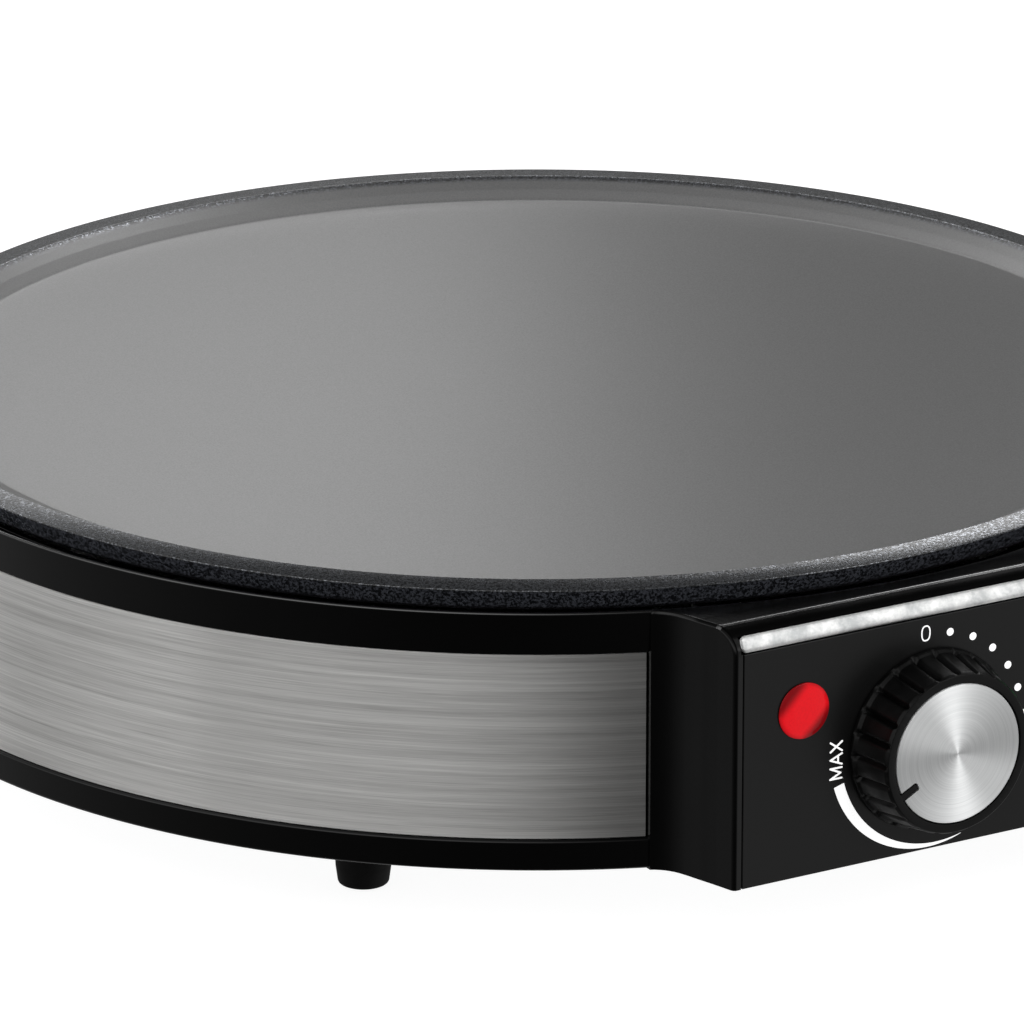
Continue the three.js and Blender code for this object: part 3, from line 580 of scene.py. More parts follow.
def mat_galvanised():
    m = Mat("galvanised_sheet", (0.56, 0.58, 0.59), 0.4, 1.0)
    cells = m.voronoi(scale=95, out="Color")
    n = m.node("ShaderNodeSeparateColor")
    m.link(cells, n.inputs[0])
    g = m.noise(scale=1500, detail=3, rough=0.6)
    w = m.noise(scale=20, detail=5, rough=0.6)
    c = m.mix(n.outputs[0], (0.47, 0.49, 0.50), (0.63, 0.65, 0.66))
    m.color(m.mix(m.remap(w, 0.35, 0.7, 0.0, 0.5), c, (0.42, 0.43, 0.43)))
    m.rough(m.remap(n.outputs[1], 0.0, 1.0, 0.32, 0.5))
    m.bump(m.math("ADD", m.math("MULTIPLY", n.outputs[2], 0.25), m.math("MULTIPLY", g, 0.3)), 0.15, 0.00006)
    return m.m


def mat_plain(name, a, b, rough, scale=600.0, bump=0.15, **kw):
    """A moulded or extruded non-metal with mottling between two shades."""
    m = Mat(name, a, rough, 0.0, **kw)
    g = m.noise(scale=scale, detail=4, rough=0.6)
    w = m.noise(scale=scale / 9, detail=4, rough=0.6)
    m.color(m.mix(m.remap(w, 0.3, 0.7, 0.0, 1.0), a, b))
    m.rough(m.remap(g, 0.3, 0.7, rough - 0.06, rough + 0.1))
    m.bump(g, bump, 0.00008)
    return m.m


def mat_earth():
    """Green sleeve with a yellow stripe along it."""
    m = Mat("wire_earth", (0.05, 0.26, 0.05), 0.45)
    x, y, z = m.split(m.coord)
    s = m.math("SINE", m.math("ADD", m.math("MULTIPLY", x, 900.0), m.math("MULTIPLY", z, 900.0)))
    g = m.noise(scale=900, detail=3)
    m.color(m.mix(m.remap(s, -0.1, 0.1, 0.0, 1.0), (0.04, 0.24, 0.05), (0.75, 0.62, 0.04)))
    m.rough(m.remap(g, 0.3, 0.7, 0.4, 0.55))
    m.bump(g, 0.12, 0.00006)
    return m.m


M = {
    "coating": mat_plate(), "black": mat_black(), "band": mat_band(), "panel": mat_panel(), "silver": mat_silver(),
    "red": mat_lens("lens_red_plastic", (0.16, 0.004, 0.006), (0.64, 0.006, 0.011), (1.0, 0.012, 0.02)),
    "green": mat_lens("lens_green_plastic", (0.004, 0.07, 0.02), (0.02, 0.34, 0.09), (0.05, 0.8, 0.2)),
    "knob": mat_knob(), "cap": mat_cap(), "foot": mat_rubber(), "gland": mat_rubber("gland_rubber", 10, 0.55), "print": mat_print(),
    "zinc": mat_metal("zinc_plate", (0.60, 0.61, 0.63), 0.33), "sheath": mat_metal("element_sheath", (0.13, 0.125, 0.13), 0.45, 900, 0.35),
    "shield": mat_metal("aluminised_sheet", (0.66, 0.67, 0.67), 0.42, 420, 0.1), "sheet": mat_galvanised(),
    "copper": mat_metal("drawn_copper", (0.62, 0.30, 0.18), 0.32, 800, 0.2), "brass": mat_metal("brass", (0.62, 0.45, 0.17), 0.34, 800, 0.15),
    "ceramic": mat_plain("ceramic_white", gray(222), gray(206), 0.62, 1200, 0.25),
    "nylon": mat_plain("natural_nylon", gray(208), lin(198, 192, 178), 0.45, 900, 0.12),
    "bakelite": mat_plain("phenolic", lin(40, 30, 24), lin(58, 44, 35), 0.42, 700, 0.2),
    "glass": mat_plain("neon_glass", (0.80, 0.50, 0.34), (0.70, 0.42, 0.28), 0.12, 500, 0.03, Transmission_Weight=0.6),
    "brown": mat_plain("wire_brown", lin(84, 46, 24), lin(98, 56, 30), 0.45, 900, 0.12),
    "blue": mat_plain("wire_blue", lin(24, 66, 150), lin(32, 78, 168), 0.45, 900, 0.12),
    "white": mat_plain("wire_white", gray(214), gray(198), 0.6, 2200, 0.4), "earth": mat_earth(),
}


def dress(ob, mat, body="housing", node=None):
    ob.data.materials.clear()
    ob.data.materials.append(M[mat])
    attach(ob, body)
    if node:
        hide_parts(*([node] if isinstance(node, str) else node))
    return ob


# ------------------------------------------------------------------ cooking plate
SURF = CREST - 4.0
plate_prof = [
    (0, 68.6), (87.4, 68.6, 1.0), (88.6, 62.0, 0.6), (91.4, 62.0, 0.4), (91.4, 66.9), (98.6, 66.9), (98.6, 62.0, 0.4), (101.4, 62.0, 0.6),
    (102.6, 68.6, 1.0), (136, 68.6, 4.0), (143.5, 71.0, 3.0), (148.6, 71.2, 0.8), (149.9, 72.2, 0.6), (PLATE_R, CREST - 0.4, 0.24), (145.6, CREST, 0.4), (141.5, CREST - 2.3, 7.0), (137.6, SURF, 3.0), (128, SURF), (0, SURF),
]
pl = lathe_bm(fillet(plate_prof, False, 6), 360, False)
plate = finish_mesh("plate_cast", pl, 40)
dress(plate, "coating", node="cooking_plate")


# ------------------------------------------------------------------ housing: drum, ring and control box in one moulding
def half_width(n):
    """Half width of the control box, to its cheek, at a distance ahead of the plate's axis."""
    pts = [(PANEL_N + 1, 48.45), (PANEL_N, 48.7), (162.0, 49.25), (158.0, 50.35), (154.8, 51.35), (152.0, 52.15), (149.8, 52.85), (148.3, 53.5), (147.2, 54.15),
           (146.2, 54.95), (145.4, 55.8), (144.8, 56.6), (144.45, 57.25), (144.3, 57.45), (142.0, 57.4), (130.0, 57.4)]
    if n >= pts[0][0]:
        return pts[0][1]
    for (n1, x1), (n0, x0) in zip(pts, pts[1:]):
        if n0 <= n <= n1:
            return x0 + (x1 - x0) * (n - n0) / (n1 - n0)
    return pts[-1][1]


def hood():
    """The control box as one closed body: a deck and a face joined by a round, and cheeks with their own edge rounds."""
    bm = bmesh.new()
    # stations along the face, the round and the deck: place, outward normal, edge radius
    st = []
    face_z = [BASE, 20, 30, 40, 50, 57, 62]
    for z in face_z:
        st.append((PANEL_N, z, 1.0, 0.0, 0.8))
    for k in range(17):
        a = math.radians(ROUND_END * k / 16)
        st.append((ARC_N + EDGE_R * math.cos(a), ARC_Z + EDGE_R * math.sin(a), math.cos(a), math.sin(a), 0.8))
    for k in range(7):      # a tight corner between the round and the deck
        a = math.radians(ROUND_END + (90 - ROUND_END) * k / 6)
        st.append((159.1 - 0.5 * math.tan(math.radians((90 - ROUND_END) / 2)) + 0.5 * math.cos(a), DECK - 0.5 + 0.5 * math.sin(a), math.cos(a), math.sin(a), 0.8))
    deck_n = [157.0, 156.2, 155.4, 154.8, 154.2, 153.4, 151.8, 150.6, 149.8, 149.0, 148.3, 147.7, 147.2, 146.7, 146.2, 145.8, 145.4, 145.1, 144.8, 144.6, 144.45, 144.35, 144.3, 142.0, 134.0]
    for n in deck_n:
        st.append((n, DECK, 0.0, 1.0, 0.8))
    E = 7
    rows = []
    for n, z, nn, nz, rho in st:
        row = []
        for side in (-1, 1):
            part = []
            for k in range(E + 1):
                t = math.pi / 2 * k / E            # 0 on the face, 90 degrees on the cheek
                off = rho * (1 - math.cos(t))
                pn, pz = n - nn * off, z - nz * off
                part.append((side * (half_width(pn) - rho + rho * math.sin(t)), pn, pz))
            row += list(reversed(part)) if side < 0 else part
        rows.append([bm.verts.new(P(x, -pn, pz)) for x, pn, pz in row])
    for a, b in zip(rows, rows[1:]):
        for i in range(len(a) - 1):
            bm.faces.new((a[i], a[i + 1], b[i + 1], b[i]))
    # cheeks, on a grid of the stations' own heights and distances
    first_arc, last_arc = len(face_z), len(face_z) + 23
    for side in (-1, 1):
        C = [(n - nn * rho, z - nz * rho) for n, z, nn, nz, rho in st]
        X = lambda n: side * half_width(n)
        ns = [C[i][0] for i in range(first_arc, len(C))]      # columns: from the arc's foot back along the deck
        zs = [C[i][1] for i in range(0, last_arc + 1)]        # rows: from the base up to the deck's edge
        at = lambda n, z: bm.verts.new(P(X(n), -n, z))
        for r in range(len(zs) - 1):
            start = max(0, r - first_arc + 1)                 # first column that is fully behind the edge in this row
            if r >= first_arc:
                k = r - first_arc
                bm.faces.new((at(ns[k], zs[r]), at(ns[k + 1], zs[r]), at(ns[k + 1], zs[r + 1])))
            for c in range(start, len(ns) - 1):
                bm.faces.new((at(ns[c], zs[r]), at(ns[c + 1], zs[r]), at(ns[c + 1], zs[r + 1]), at(ns[c], zs[r + 1])))
    # bottom and back
    bmesh.ops.remove_doubles(bm, verts=bm.verts, dist=1e-7)
    bmesh.ops.holes_fill(bm, edges=[e for e in bm.edges if len(e.link_faces) == 1], sides=0)
    return finish_mesh("hood", bm)


drum_prof = fillet([(0, BASE), (154.7, BASE, 0.9), (154.7, BAND_LO - 0.55, 0.5), (154.25, BAND_LO - 0.1, 0.1), (153.3, BAND_LO - 0.1), (153.3, BAND_HI + 0.1, 0.2),
                    (154.3, BAND_HI + 0.1, 0.15), (RING_R, RING_TOP, 0.42), (0, RING_TOP)], False, 5)
housing = finish_mesh("housing_moulding", lathe_bm(drum_prof, 256, False))
boolean(housing, [hood()], "UNION")
inner = fillet([(0, -5), (150.6, -5), (150.6, 62.2), (146.2, 63.8), (146.2, 69.4, 0.3), (147.6, 69.4, 0.4), (148.0, 67.0, 0.6), (151.5, 67.0, 1.0), (153.6, 71.2, 0.5),
                (154.3, RING_TOP + 0.02, 0.1), (154.4, 80), (0, 80)], False, 4)
box_plan = [(46.4, -159.6), (50.4, -147.6), (50.4, -134.0), (-50.4, -134.0), (-50.4, -147.6), (-46.4, -159.6)]
top_space = [(153.8, 61.0), (159.6, 61.0), (159.6, 66.4), (159.1, 67.7), (157.8, 68.2), (155.2, 66.9), (153.8, 66.2)]
step = [(PANEL_N + 8, 5), (PANEL_N - 1.9, 5)] + front_arc(EDGE_R - 1.9, 0, 7.4, 3) + front_arc(14, 7.4, 0, 2)
groove = front_arc(EDGE_R - 1.9, 6.2, 43.0, 10) + front_arc(14, 43.0, 6.2, 4)
tools = [tool(lathe_bm(inner, 256, False)), tool(prism_z(box_plan, -5, 62.0)), tool(prism_x(top_space, -46.0, 46.0)),
         tool(prism_x(step, -PANEL_HALF - 0.3, PANEL_HALF + 0.3)), tool(prism_x(groove, -STRIP_HALF - 0.12, STRIP_HALF + 0.12)), tool(prism_f(circle(5.0, 0, KNOB_Z), 150, 175))]
for s in (-1, 1):
    tools.append(tool(prism_f(circle(LENS_R - 0.2, s * LENS_X, LENS_Z), 150, 175)))
    tools.append(tool(prism_f(circle(2.3, s * 14, KNOB_Z, 24), 150, 175)))
tools.append(tool(prism_f(circle(6.4, 0, GLAND_Z, 64), -170, -140)))
boolean(housing, tools)
# posts and shelves inside
adds = []
for x, y in FOOT_XY:
    a = math.atan2(y, x)
    adds.append(tool(lathe_bm(fillet([(1.9, 17.4), (5.2, 17.4), (5.2, 40, 0.8), (1.9, 40)], True, 3), 32, True, cx=x, cz=y)))
    c, s = math.cos(a), math.sin(a)
    rib = [(r * c - t * s, r * s + t * c) for r, t in ((134.6, -1.2), (152.2, -1.2), (152.2, 1.2), (134.6, 1.2))]
    adds.append(tool(prism_z(rib, 18.0, 39.0)))
for s_ in (-1, 1):
    adds.append(tool(lathe_bm([(1.7, 17.4), (4.2, 17.4), (4.2, 34), (1.7, 34)], 32, True, cx=s_ * 39.5, cz=-152.5)))
    adds.append(tool(prism_z([(s_ * 39.5 - 1.2, -160.5), (s_ * 39.5 + 1.2, -160.5), (s_ * 39.5 + 1.2, -156.2), (s_ * 39.5 - 1.2, -156.2)], 18.0, 33.0)))
for d in STUD_DEG:
    c, s = math.cos(math.radians(d)), math.sin(math.radians(d))
    shelf = [(r * c - t * s, r * s + t * c) for r, t in ((106.9, -7), (151.5, -7), (151.5, 7), (106.9, 7))]
    adds.append(tool(prism_z(shelf, 45.3, 49.3)))
    web = [(r * c - t * s, r * s + t * c) for r, t in ((122.5, -1.2), (151.5, -1.2), (151.5, 1.2), (122.5, 1.2))]
    adds.append(tool(prism_z(web, 29.6, 46.0)))
boolean(housing, adds, "UNION")
boolean(housing, [tool(prism_z(circle(2.4, STUD_R * math.cos(math.radians(d)), STUD_R * math.sin(math.radians(d)), 24), 30, 60)) for d in STUD_DEG])
smooth(housing, 32, True)
dress(housing, "black", node="housing_shell")


# ------------------------------------------------------------------ steel band: thin strip with rolled edges, its ends tucked in at the box
def band():
    t, lo, hi, R = 0.6, BAND_LO, BAND_HI, BAND_R
    sec = fillet([(R - t, lo, 0.2), (R, lo, 0.25), (R, hi, 0.25), (R - t, hi, 0.2)], True, 3)
    sec = [p for p in sec]
    a0, a1, n = math.radians(-90 + 22.0), math.radians(270 - 22.0), 300
    bm = bmesh.new()
    rings = []
    for i in range(n + 1):
        a = a0 + (a1 - a0) * i / n
        rings.append([bm.verts.new(P(r * math.cos(a), r * math.sin(a), z)) for r, z in sec])
    for a, b in zip(rings, rings[1:]):
        loop_faces(bm, a, b)
    bm.faces.new(list(reversed(rings[0])))
    bm.faces.new(rings[-1])
    ob = finish_mesh("band_strip", bm)
    boolean(ob, [tool(prism_f(circle(6.4, 0, GLAND_Z, 64), -170, -140))])
    smooth(ob, 30, True)
    return ob


dress(band(), "band", node="steel_band")


# ------------------------------------------------------------------ front panel and its printing
def panel():
    d1 = 5.4
    prof = [(PANEL_N - 1.6, BASE), (PANEL_N, BASE), (PANEL_N, 25), (PANEL_N, 40), (PANEL_N, 55)] + front_arc(EDGE_R, 0, d1, 3) + front_arc(EDGE_R - 1.6, d1, 0, 2)
    ob = finish_mesh("panel_face", prism_x(prof, -PANEL_HALF, PANEL_HALF))
    bevel(ob, 0.3, 3, 50)
    cut = [tool(prism_f(circle(4.6, 0, KNOB_Z, 64), 150, 175))]
    for s in (-1, 1):
        cut.append(tool(prism_f(circle(LENS_R - 0.2, s * LENS_X, LENS_Z, 64), 150, 175)))
        cut.append(tool(prism_f(circle(2.3, s * 14, KNOB_Z, 32), 150, 175)))
    boolean(ob, cut)
    smooth(ob, 30, True)
    return ob


dress(panel(), "panel", node="front_panel")

PRINT_T = 0.06      # how far the ink stands off the panel
INK0, INK1 = PANEL_N + 0.01, PANEL_N + 0.01 + PRINT_T


def ink_outline(outer, inner=None):
    """A flat mark with an optional hole, as a ring of quads or one polygon."""
    bm = bmesh.new()
    if inner is None:
        return prism_f(outer, INK0, INK1, bm)
    rings = [[bm.verts.new(P(x, -n, z)) for x, z in ring] for ring, n in ((outer, INK0), (outer, INK1), (inner, INK1), (inner, INK0))]
    for i in range(4):
        loop_faces(bm, rings[i], rings[(i + 1) % 4])
    return bm


def stroke(p, q, w):
    """A straight stroke with round ends."""
    a = math.atan2(q[1] - p[1], q[0] - p[0])
    pts = []
    for (x, z), base in ((q, a - math.pi / 2), (p, a + math.pi / 2)):
        for k in range(7):
            t = base + math.pi * k / 6
            pts.append((x + w / 2 * math.cos(t), z + w / 2 * math.sin(t)))
    return pts


def scale_marks():
    parts = []
    rs = 23.6
    # dots from 0 round to the start of the arc
    for a in range(78, -60, -15):
        t = math.radians(a)
        parts.append(ink_outline(circle(0.86, KNOB_X + rs * math.cos(t), KNOB_Z + rs * math.sin(t), 32)))
    # tapered arc up to the full mark
    out, inn = [], []
    d0, d1, n = -70.0, -164.0, 48
    for k in range(n + 1):
        u = k / n
        t = math.radians(d0 + (d1 - d0) * u)
        w = 0.06 + 2.5 * (1 - (1 - u) ** 1.5)
        ro, ri = 24.85, 24.85 - w
        out.append((KNOB_X + ro * math.cos(t), KNOB_Z + ro * math.sin(t)))
        inn.append((KNOB_X + ri * math.cos(t), KNOB_Z + ri * math.sin(t)))
    bm = bmesh.new()
    f = [[bm.verts.new(P(x, -nn, z)) for x, z in line] for line, nn in ((out, INK0), (out, INK1), (inn, INK1), (inn, INK0))]
    for i in range(4):
        a, b = f[i], f[(i + 1) % 4]
        for k in range(n):
            bm.faces.new((a[k], a[k + 1], b[k + 1], b[k]))
    bm.faces.new([r[0] for r in f])
    bm.faces.new([r[-1] for r in reversed(f)])
    parts.append(bm)
    # zero
    t = math.radians(93.0)
    zx, zz = KNOB_X + 23.9 * math.cos(t), KNOB_Z + 23.9 * math.sin(t)
    oval = lambda a, b: [(zx + a * math.copysign(abs(math.cos(q)) ** 0.8, math.cos(q)), zz + b * math.copysign(abs(math.sin(q)) ** 0.8, math.sin(q)))
                         for q in [2 * math.pi * i / 64 for i in range(64)]]
    parts.append(ink_outline(oval(1.16, 1.78), oval(0.88, 1.49)))
    # full-heat word, read from below upwards, left of the knob
    w, hgt, cx, cz = 0.40, 2.9, KNOB_X - 23.45, KNOB_Z - 0.7
    def place(p):      # letters are drawn upright, then turned a quarter turn anticlockwise
        return (cx - (p[1] - hgt / 2), cz + p[0])
    strokes = []
    x = -4.1
    strokes += [((x, 0), (x, hgt)), ((x, hgt), (x + 1.2, 0.3)), ((x + 1.2, 0.3), (x + 2.4, hgt)), ((x + 2.4, hgt), (x + 2.4, 0))]
    x = -0.95
    strokes += [((x, 0), (x + 1.2, hgt)), ((x + 1.2, hgt), (x + 2.4, 0)), ((x + 0.42, 0.98), (x + 1.98, 0.98))]
    x = 2.1
    strokes += [((x, 0), (x + 2.1, hgt)), ((x, hgt), (x + 2.1, 0))]
    for i, (a, b) in enumerate(strokes):
        lift = 0.004 * i     # strokes that cross sit a hair apart, as one layer of ink would hide
        pts = stroke(place(a), place(b), w)
        parts.append(prism_f(pts, INK0, INK1 + lift))
    return parts


def merge_bms(name, parts, sharp=35):
    big = bmesh.new()
    for b in parts:
        bmesh.ops.recalc_face_normals(b, faces=b.faces)
        me = bpy.data.meshes.new("part")
        b.to_mesh(me)
        b.free()
        big.from_mesh(me)
        bpy.data.meshes.remove(me)
    me = bpy.data.meshes.new(name)
    big.to_mesh(me)
    big.free()
    ob = bpy.data.objects.new(name, me)
    scene.collection.objects.link(ob)
    smooth(ob, sharp)
    return ob


dress(merge_bms("dial_marks", scale_marks()), "print")


# ------------------------------------------------------------------ silver strip on the rounded edge
def trim():
    L, a0, a1 = STRIP_HALF, 8.6, 41.6
    half = math.radians((a1 - a0) / 2) * EDGE_R
    mid = math.radians((a0 + a1) / 2)
    r = 1.3
    xs = [-L + r * (1 - math.cos(math.pi / 2 * k / 8)) for k in range(9)]
    xs += [-L + r + (2 * L - 2 * r) * k / 40 for k in range(1, 40)]
    xs += [-x for x in reversed(xs[:9])]
    bm = bmesh.new()
    rings = []
    for x in xs:
        over = max(0.0, abs(x) - (L - r))
        hw = half - r + math.sqrt(max(0.0, r * r - over * over))
        tops = []
        m = 14
        for k in range(m + 1):
            u = -1 + 2 * k / m
            e = (1 - abs(u) ** 8)
            drop = (0.28 if u < 0 else 0.08) * (1 - e) + 0.22 * (over / r) ** 4
            tops.append((u * hw, 0.28 - drop))
        ring = tops + [(hw * 0.98, -1.3), (0, -1.3), (-hw * 0.98, -1.3)]
        rings.append([bm.verts.new(P(x, -(ARC_N + (EDGE_R + h) * math.cos(mid + s / EDGE_R)), ARC_Z + (EDGE_R + h) * math.sin(mid + s / EDGE_R))) for s, h in ring])
    for a, b in zip(rings, rings[1:]):
        loop_faces(bm, a, b)
    bm.faces.new(list(reversed(rings[0])))
    bm.faces.new(rings[-1])
    return finish_mesh("trim_silver_strip", bm, 50)


dress(trim(), "silver", node="trim_strip")

# ------------------------------------------------------------------ lamps
for s, look in ((-1, "red"), (1, "green")):
    prof = [(0, 158.0), (LENS_R - 0.7, 158.0, 0.3), (LENS_R - 0.7, PANEL_N + 0.12), (LENS_R + 0.17, PANEL_N + 0.12, 0.12), (LENS_R + 0.10, PANEL_N + 0.42, 0.2),
            (5.2, PANEL_N + 0.65, 1.0), (3.0, PANEL_N + 0.85, 1.5), (0, PANEL_N + 0.9)]
    dress(lathe("lens_dome_" + look, prof, 96, True, 50, 8, front=True, cx=s * LENS_X, cz=LENS_Z), look, node="lens_" + look)


# ------------------------------------------------------------------ knob
def flute(r, h, a):
    """Wide ridges with narrow round grooves; the grooves fade out at the rim."""
    t = h - PANEL_N
    if r < 17.4 or t < 1.0:
        return r
    u = (a * 24 / (2 * math.pi)) % 1.0
    d = min(u, 1 - u)                       # 0 at the middle of a groove
    g = math.exp(-(d / 0.105) ** 2)
    crown = 0.16 * math.cos(math.pi * (0.5 - d) / 0.5 * 0.9)
    fade = min(1.0, max(0.0, (KNOB_H - 0.25 - t) / 0.8)) * min(1.0, max(0.0, (t - 1.0) / 0.4))
    return r - (0.95 * g) * fade - 0.12 * (1 - crown) * fade


def knob_mesh():
    top = KNOB_R - 2.05
    outer = fillet([(0, KNOB_H - 1.0), (CAP_R + 0.3, KNOB_H - 1.0), (CAP_R + 0.3, KNOB_H, 0.15), (top - 0.55, KNOB_H, 0.35), (top, KNOB_H - 0.75, 0.6),
                    (KNOB_R - 0.6, 1.9, 0.4), (KNOB_R, 1.35, 0.3), (KNOB_R, 0.4, 0.25), (18.4, 0.4, 0.2), (17.3, 8.4, 0.4), (5.6, 8.4, 0.4), (5.6, 0.6, 0.3),
                    (3.3, 0.6, 0.15), (3.3, 8.2), (0, 8.2)], False, 5)
    # extra rings along the grip, so that the flutes have a fair line
    dense = []
    for (r0, h0), (r1, h1) in zip(outer, outer[1:]):
        dense.append((r0, h0))
        if abs(h1 - h0) > 3 and r0 > 17.5 and r1 > 17.5:
            for k in range(1, 8):
                dense.append((r0 + (r1 - r0) * k / 8, h0 + (h1 - h0) * k / 8))
    dense.append(outer[-1])
    bm = lathe_bm([(r, h + PANEL_N) for r, h in dense], 480, False, front=True, cx=KNOB_X, cz=KNOB_Z, wobble=flute)
    ob = finish_mesh("knob_grip", bm, 40)
    return ob


knob = knob_mesh()
c, s = math.cos(POINTER), math.sin(POINTER)
rib = fillet([(11.55, -0.72, 0.55), (CAP_R + 0.6, -0.72), (CAP_R + 0.6, 0.72), (11.55, 0.72, 0.55)], True, 5)
rib = [(KNOB_X + r * c - t * s, KNOB_Z + r * s + t * c) for r, t in rib]
pointer = finish_mesh("pointer", prism_f(rib, PANEL_N + KNOB_H - 1.2, PANEL_N + KNOB_H - 0.1))
bevel(pointer, 0.12, 2, 60)
smooth(pointer)
boolean(knob, [pointer], "UNION")
smooth(knob, 38, True)
dress(knob, "knob", "knob", "knob_body")

cap_prof = fillet([(0, KNOB_H - 0.7), (CAP_R, KNOB_H - 0.7, 0.1), (CAP_R, KNOB_H - 0.08, 0.2), (0, KNOB_H - 0.02)], False, 4)
dense = []
for (r0, h0), (r1, h1) in zip(cap_prof, cap_prof[1:]):
    dense.append((r0, h0))
    if abs(r1 - r0) > 5:
        for k in range(1, 12):
            dense.append((r0 + (r1 - r0) * k / 12, h0 + (h1 - h0) * k / 12))
dense.append(cap_prof[-1])
cap = finish_mesh("knob_disc", lathe_bm([(r, h + PANEL_N) for r, h in dense], 192, False, front=True, cx=KNOB_X, cz=KNOB_Z), 40)
slot = fillet([(11.25, -1.02, 0.7), (18, -1.02), (18, 1.02), (11.25, 1.02, 0.7)], True, 5)
slot = [(KNOB_X + r * c - t * s, KNOB_Z + r * s + t * c) for r, t in slot]
boolean(cap, [finish_mesh("slot", prism_f(slot, PANEL_N + KNOB_H - 2, PANEL_N + KNOB_H + 2))])
smooth(cap, 40, True)
dress(cap, "cap", "knob", "knob_cap")


# ------------------------------------------------------------------ feet, bottom cover and screws
def screw(name, x, y, z0, head_r, head_h, shank_r, tip, flat=False):
    """Pan head with a cross recess, head down, and a threaded shank."""
    prof = [(0, z0), (head_r * 0.62, z0 + 0.02, 0.5), (head_r, z0 + head_h * 0.6, 0.6), (head_r, z0 + head_h, 0.1), (shank_r, z0 + head_h, 0.1)]
    z, k = z0 + head_h + 0.5, 0
    while z < tip - 2:
        prof.append((shank_r if k % 2 else shank_r * 0.78, z))
        z += 0.45
        k += 1
    prof += [(shank_r * 0.7, tip - 1.6), (0, tip)]
    ob = finish_mesh(name, lathe_bm(fillet(prof, False, 4), 40, False, cx=x, cz=y), 40)
    a, b = head_r * 0.58, head_r * 0.13
    cross = [(a, b), (b, b), (b, a), (-b, a), (-b, b), (-a, b), (-a, -b), (-b, -b), (-b, -a), (b, -a), (b, -b), (a, -b)]
    cross = [(x + p * math.cos(0.4) - q * math.sin(0.4), y + p * math.sin(0.4) + q * math.cos(0.4)) for p, q in cross]
    boolean(ob, [tool(prism_z(cross, z0 - 1, z0 + head_h * 0.62))])
    smooth(ob, 35)
    return ob


for i, (x, y) in enumerate(FOOT_XY, 1):
    prof = [(3.8, 0.0, 0.35), (5.5, 0.0, 0.9), (6.05, 4.0, 2.0), (6.5, 15.3, 0.3), (1.9, 15.3), (1.9, 6.0), (3.8, 6.0, 0.3)]
    dress(lathe(f"foot_rubber_{i}", prof, 72, True, 45, 5, cx=x, cz=y), "foot", node=f"foot_{i}")
    dress(screw(f"foot_fixing_{i}", x, y, 3.4, 3.3, 2.3, 1.6, 28.0), "zinc", node=f"foot_screw_{i}")
for i, sx in enumerate((-1, 1), 1):
    dress(screw(f"cover_fixing_{i}", sx * 39.5, -152.5, 13.2, 3.0, 2.1, 1.4, 27.0), "zinc", node=f"cover_screw_{i}")


def cover():
    z0, z1 = 15.6, 17.1
    R = 150.1
    start = math.asin(49.9 / R)
    plan = [(R * math.sin(start + (2 * math.pi - 2 * start) * k / 220), -R * math.cos(start + (2 * math.pi - 2 * start) * k / 220)) for k in range(221)]
    plan = plan + [(-49.9, -147.4), (-45.9, -159.1), (45.9, -159.1), (49.9, -147.4)]
    ob = finish_mesh("cover_pan", prism_z(plan, z0, z1))
    bevel(ob, 0.35, 2, 50)
    cuts = []
    for k in range(10):
        a = math.radians(36 * k + 18)
        c_, s_ = math.cos(a), math.sin(a)
        slot_ = fillet([(47, -2.5, 2.45), (77, -2.5, 2.45), (77, 2.5, 2.45), (47, 2.5, 2.45)], True, 8)
        cuts.append(tool(prism_z([(r * c_ - t * s_, r * s_ + t * c_) for r, t in slot_], 10, 20)))
    for x, y in FOOT_XY:
        cuts.append(tool(prism_z(circle(2.1, x, y, 32), 10, 20)))
    for sx in (-1, 1):
        cuts.append(tool(prism_z(circle(2.0, sx * 39.5, -152.5, 32), 10, 20)))
    # two pressed stiffening grooves, seen from below
    for r0, r1 in ((86, 90), (34, 38)):
        cuts.append(tool(lathe_bm(fillet([(r0, 15.0), (r0 + 0.9, 16.3, 0.5), (r1 - 0.9, 16.3, 0.5), (r1, 15.0)], True, 3), 160, True)))
    boolean(ob, cuts)
    smooth(ob, 30, True)
    return ob


dress(cover(), "sheet", node="bottom_cover")

# ------------------------------------------------------------------ cord inlet at the back
bush = [(3.8, -147.0, 0.3), (8.0, -147.0, 0.8), (8.0, -149.5, 0.3), (6.0, -149.5), (6.0, -154.6), (9.2, -154.6, 0.3), (9.2, -156.6, 0.9), (7.0, -157.3, 0.8),
        (6.4, -159.0, 0.4), (6.0, -GL, 0.8), (3.8, -GL, 0.6)]
dress(lathe("inlet_bush", bush, 96, True, 45, 5, front=True, cx=0, cz=GLAND_Z), "gland", node="cord_gland")


# ------------------------------------------------------------------ pieces inside
carried = {
    "element_pin_a": "zinc", "element_pin_b": "zinc", "heat_shield": "shield", "lamp_holder_left": "nylon", "lamp_holder_right": "nylon",
    "neon_lamp_left": "glass", "neon_lamp_right": "glass", "lamp_lead_left": "white", "lamp_lead_right": "white", "thermostat_shaft": "zinc",
    "thermostat_body": "bakelite", "thermostat_screw_a": "zinc", "thermostat_screw_b": "zinc", "sensor_bulb": "copper", "capillary_tube": "copper",
    "bulb_clip": "shield", "thermal_fuse": "zinc", "fuse_clip": "shield", "terminal_block": "nylon", "neutral_lead": "blue", "live_lead": "brown",
    "switched_lead": "white", "earth_lead": "earth", "earth_tag": "brass", "earth_screw": "brass", "heating_element": "sheath",
}
for i in (1, 2, 3):
    carried.update({f"plate_stud_{i}": "zinc", f"ceramic_spacer_{i}": "ceramic", f"stud_nut_{i}": "zinc"})
for name, mat in carried.items():
    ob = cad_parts[name]
    ob.data.materials.clear()
    ob.data.materials.append(M[mat])

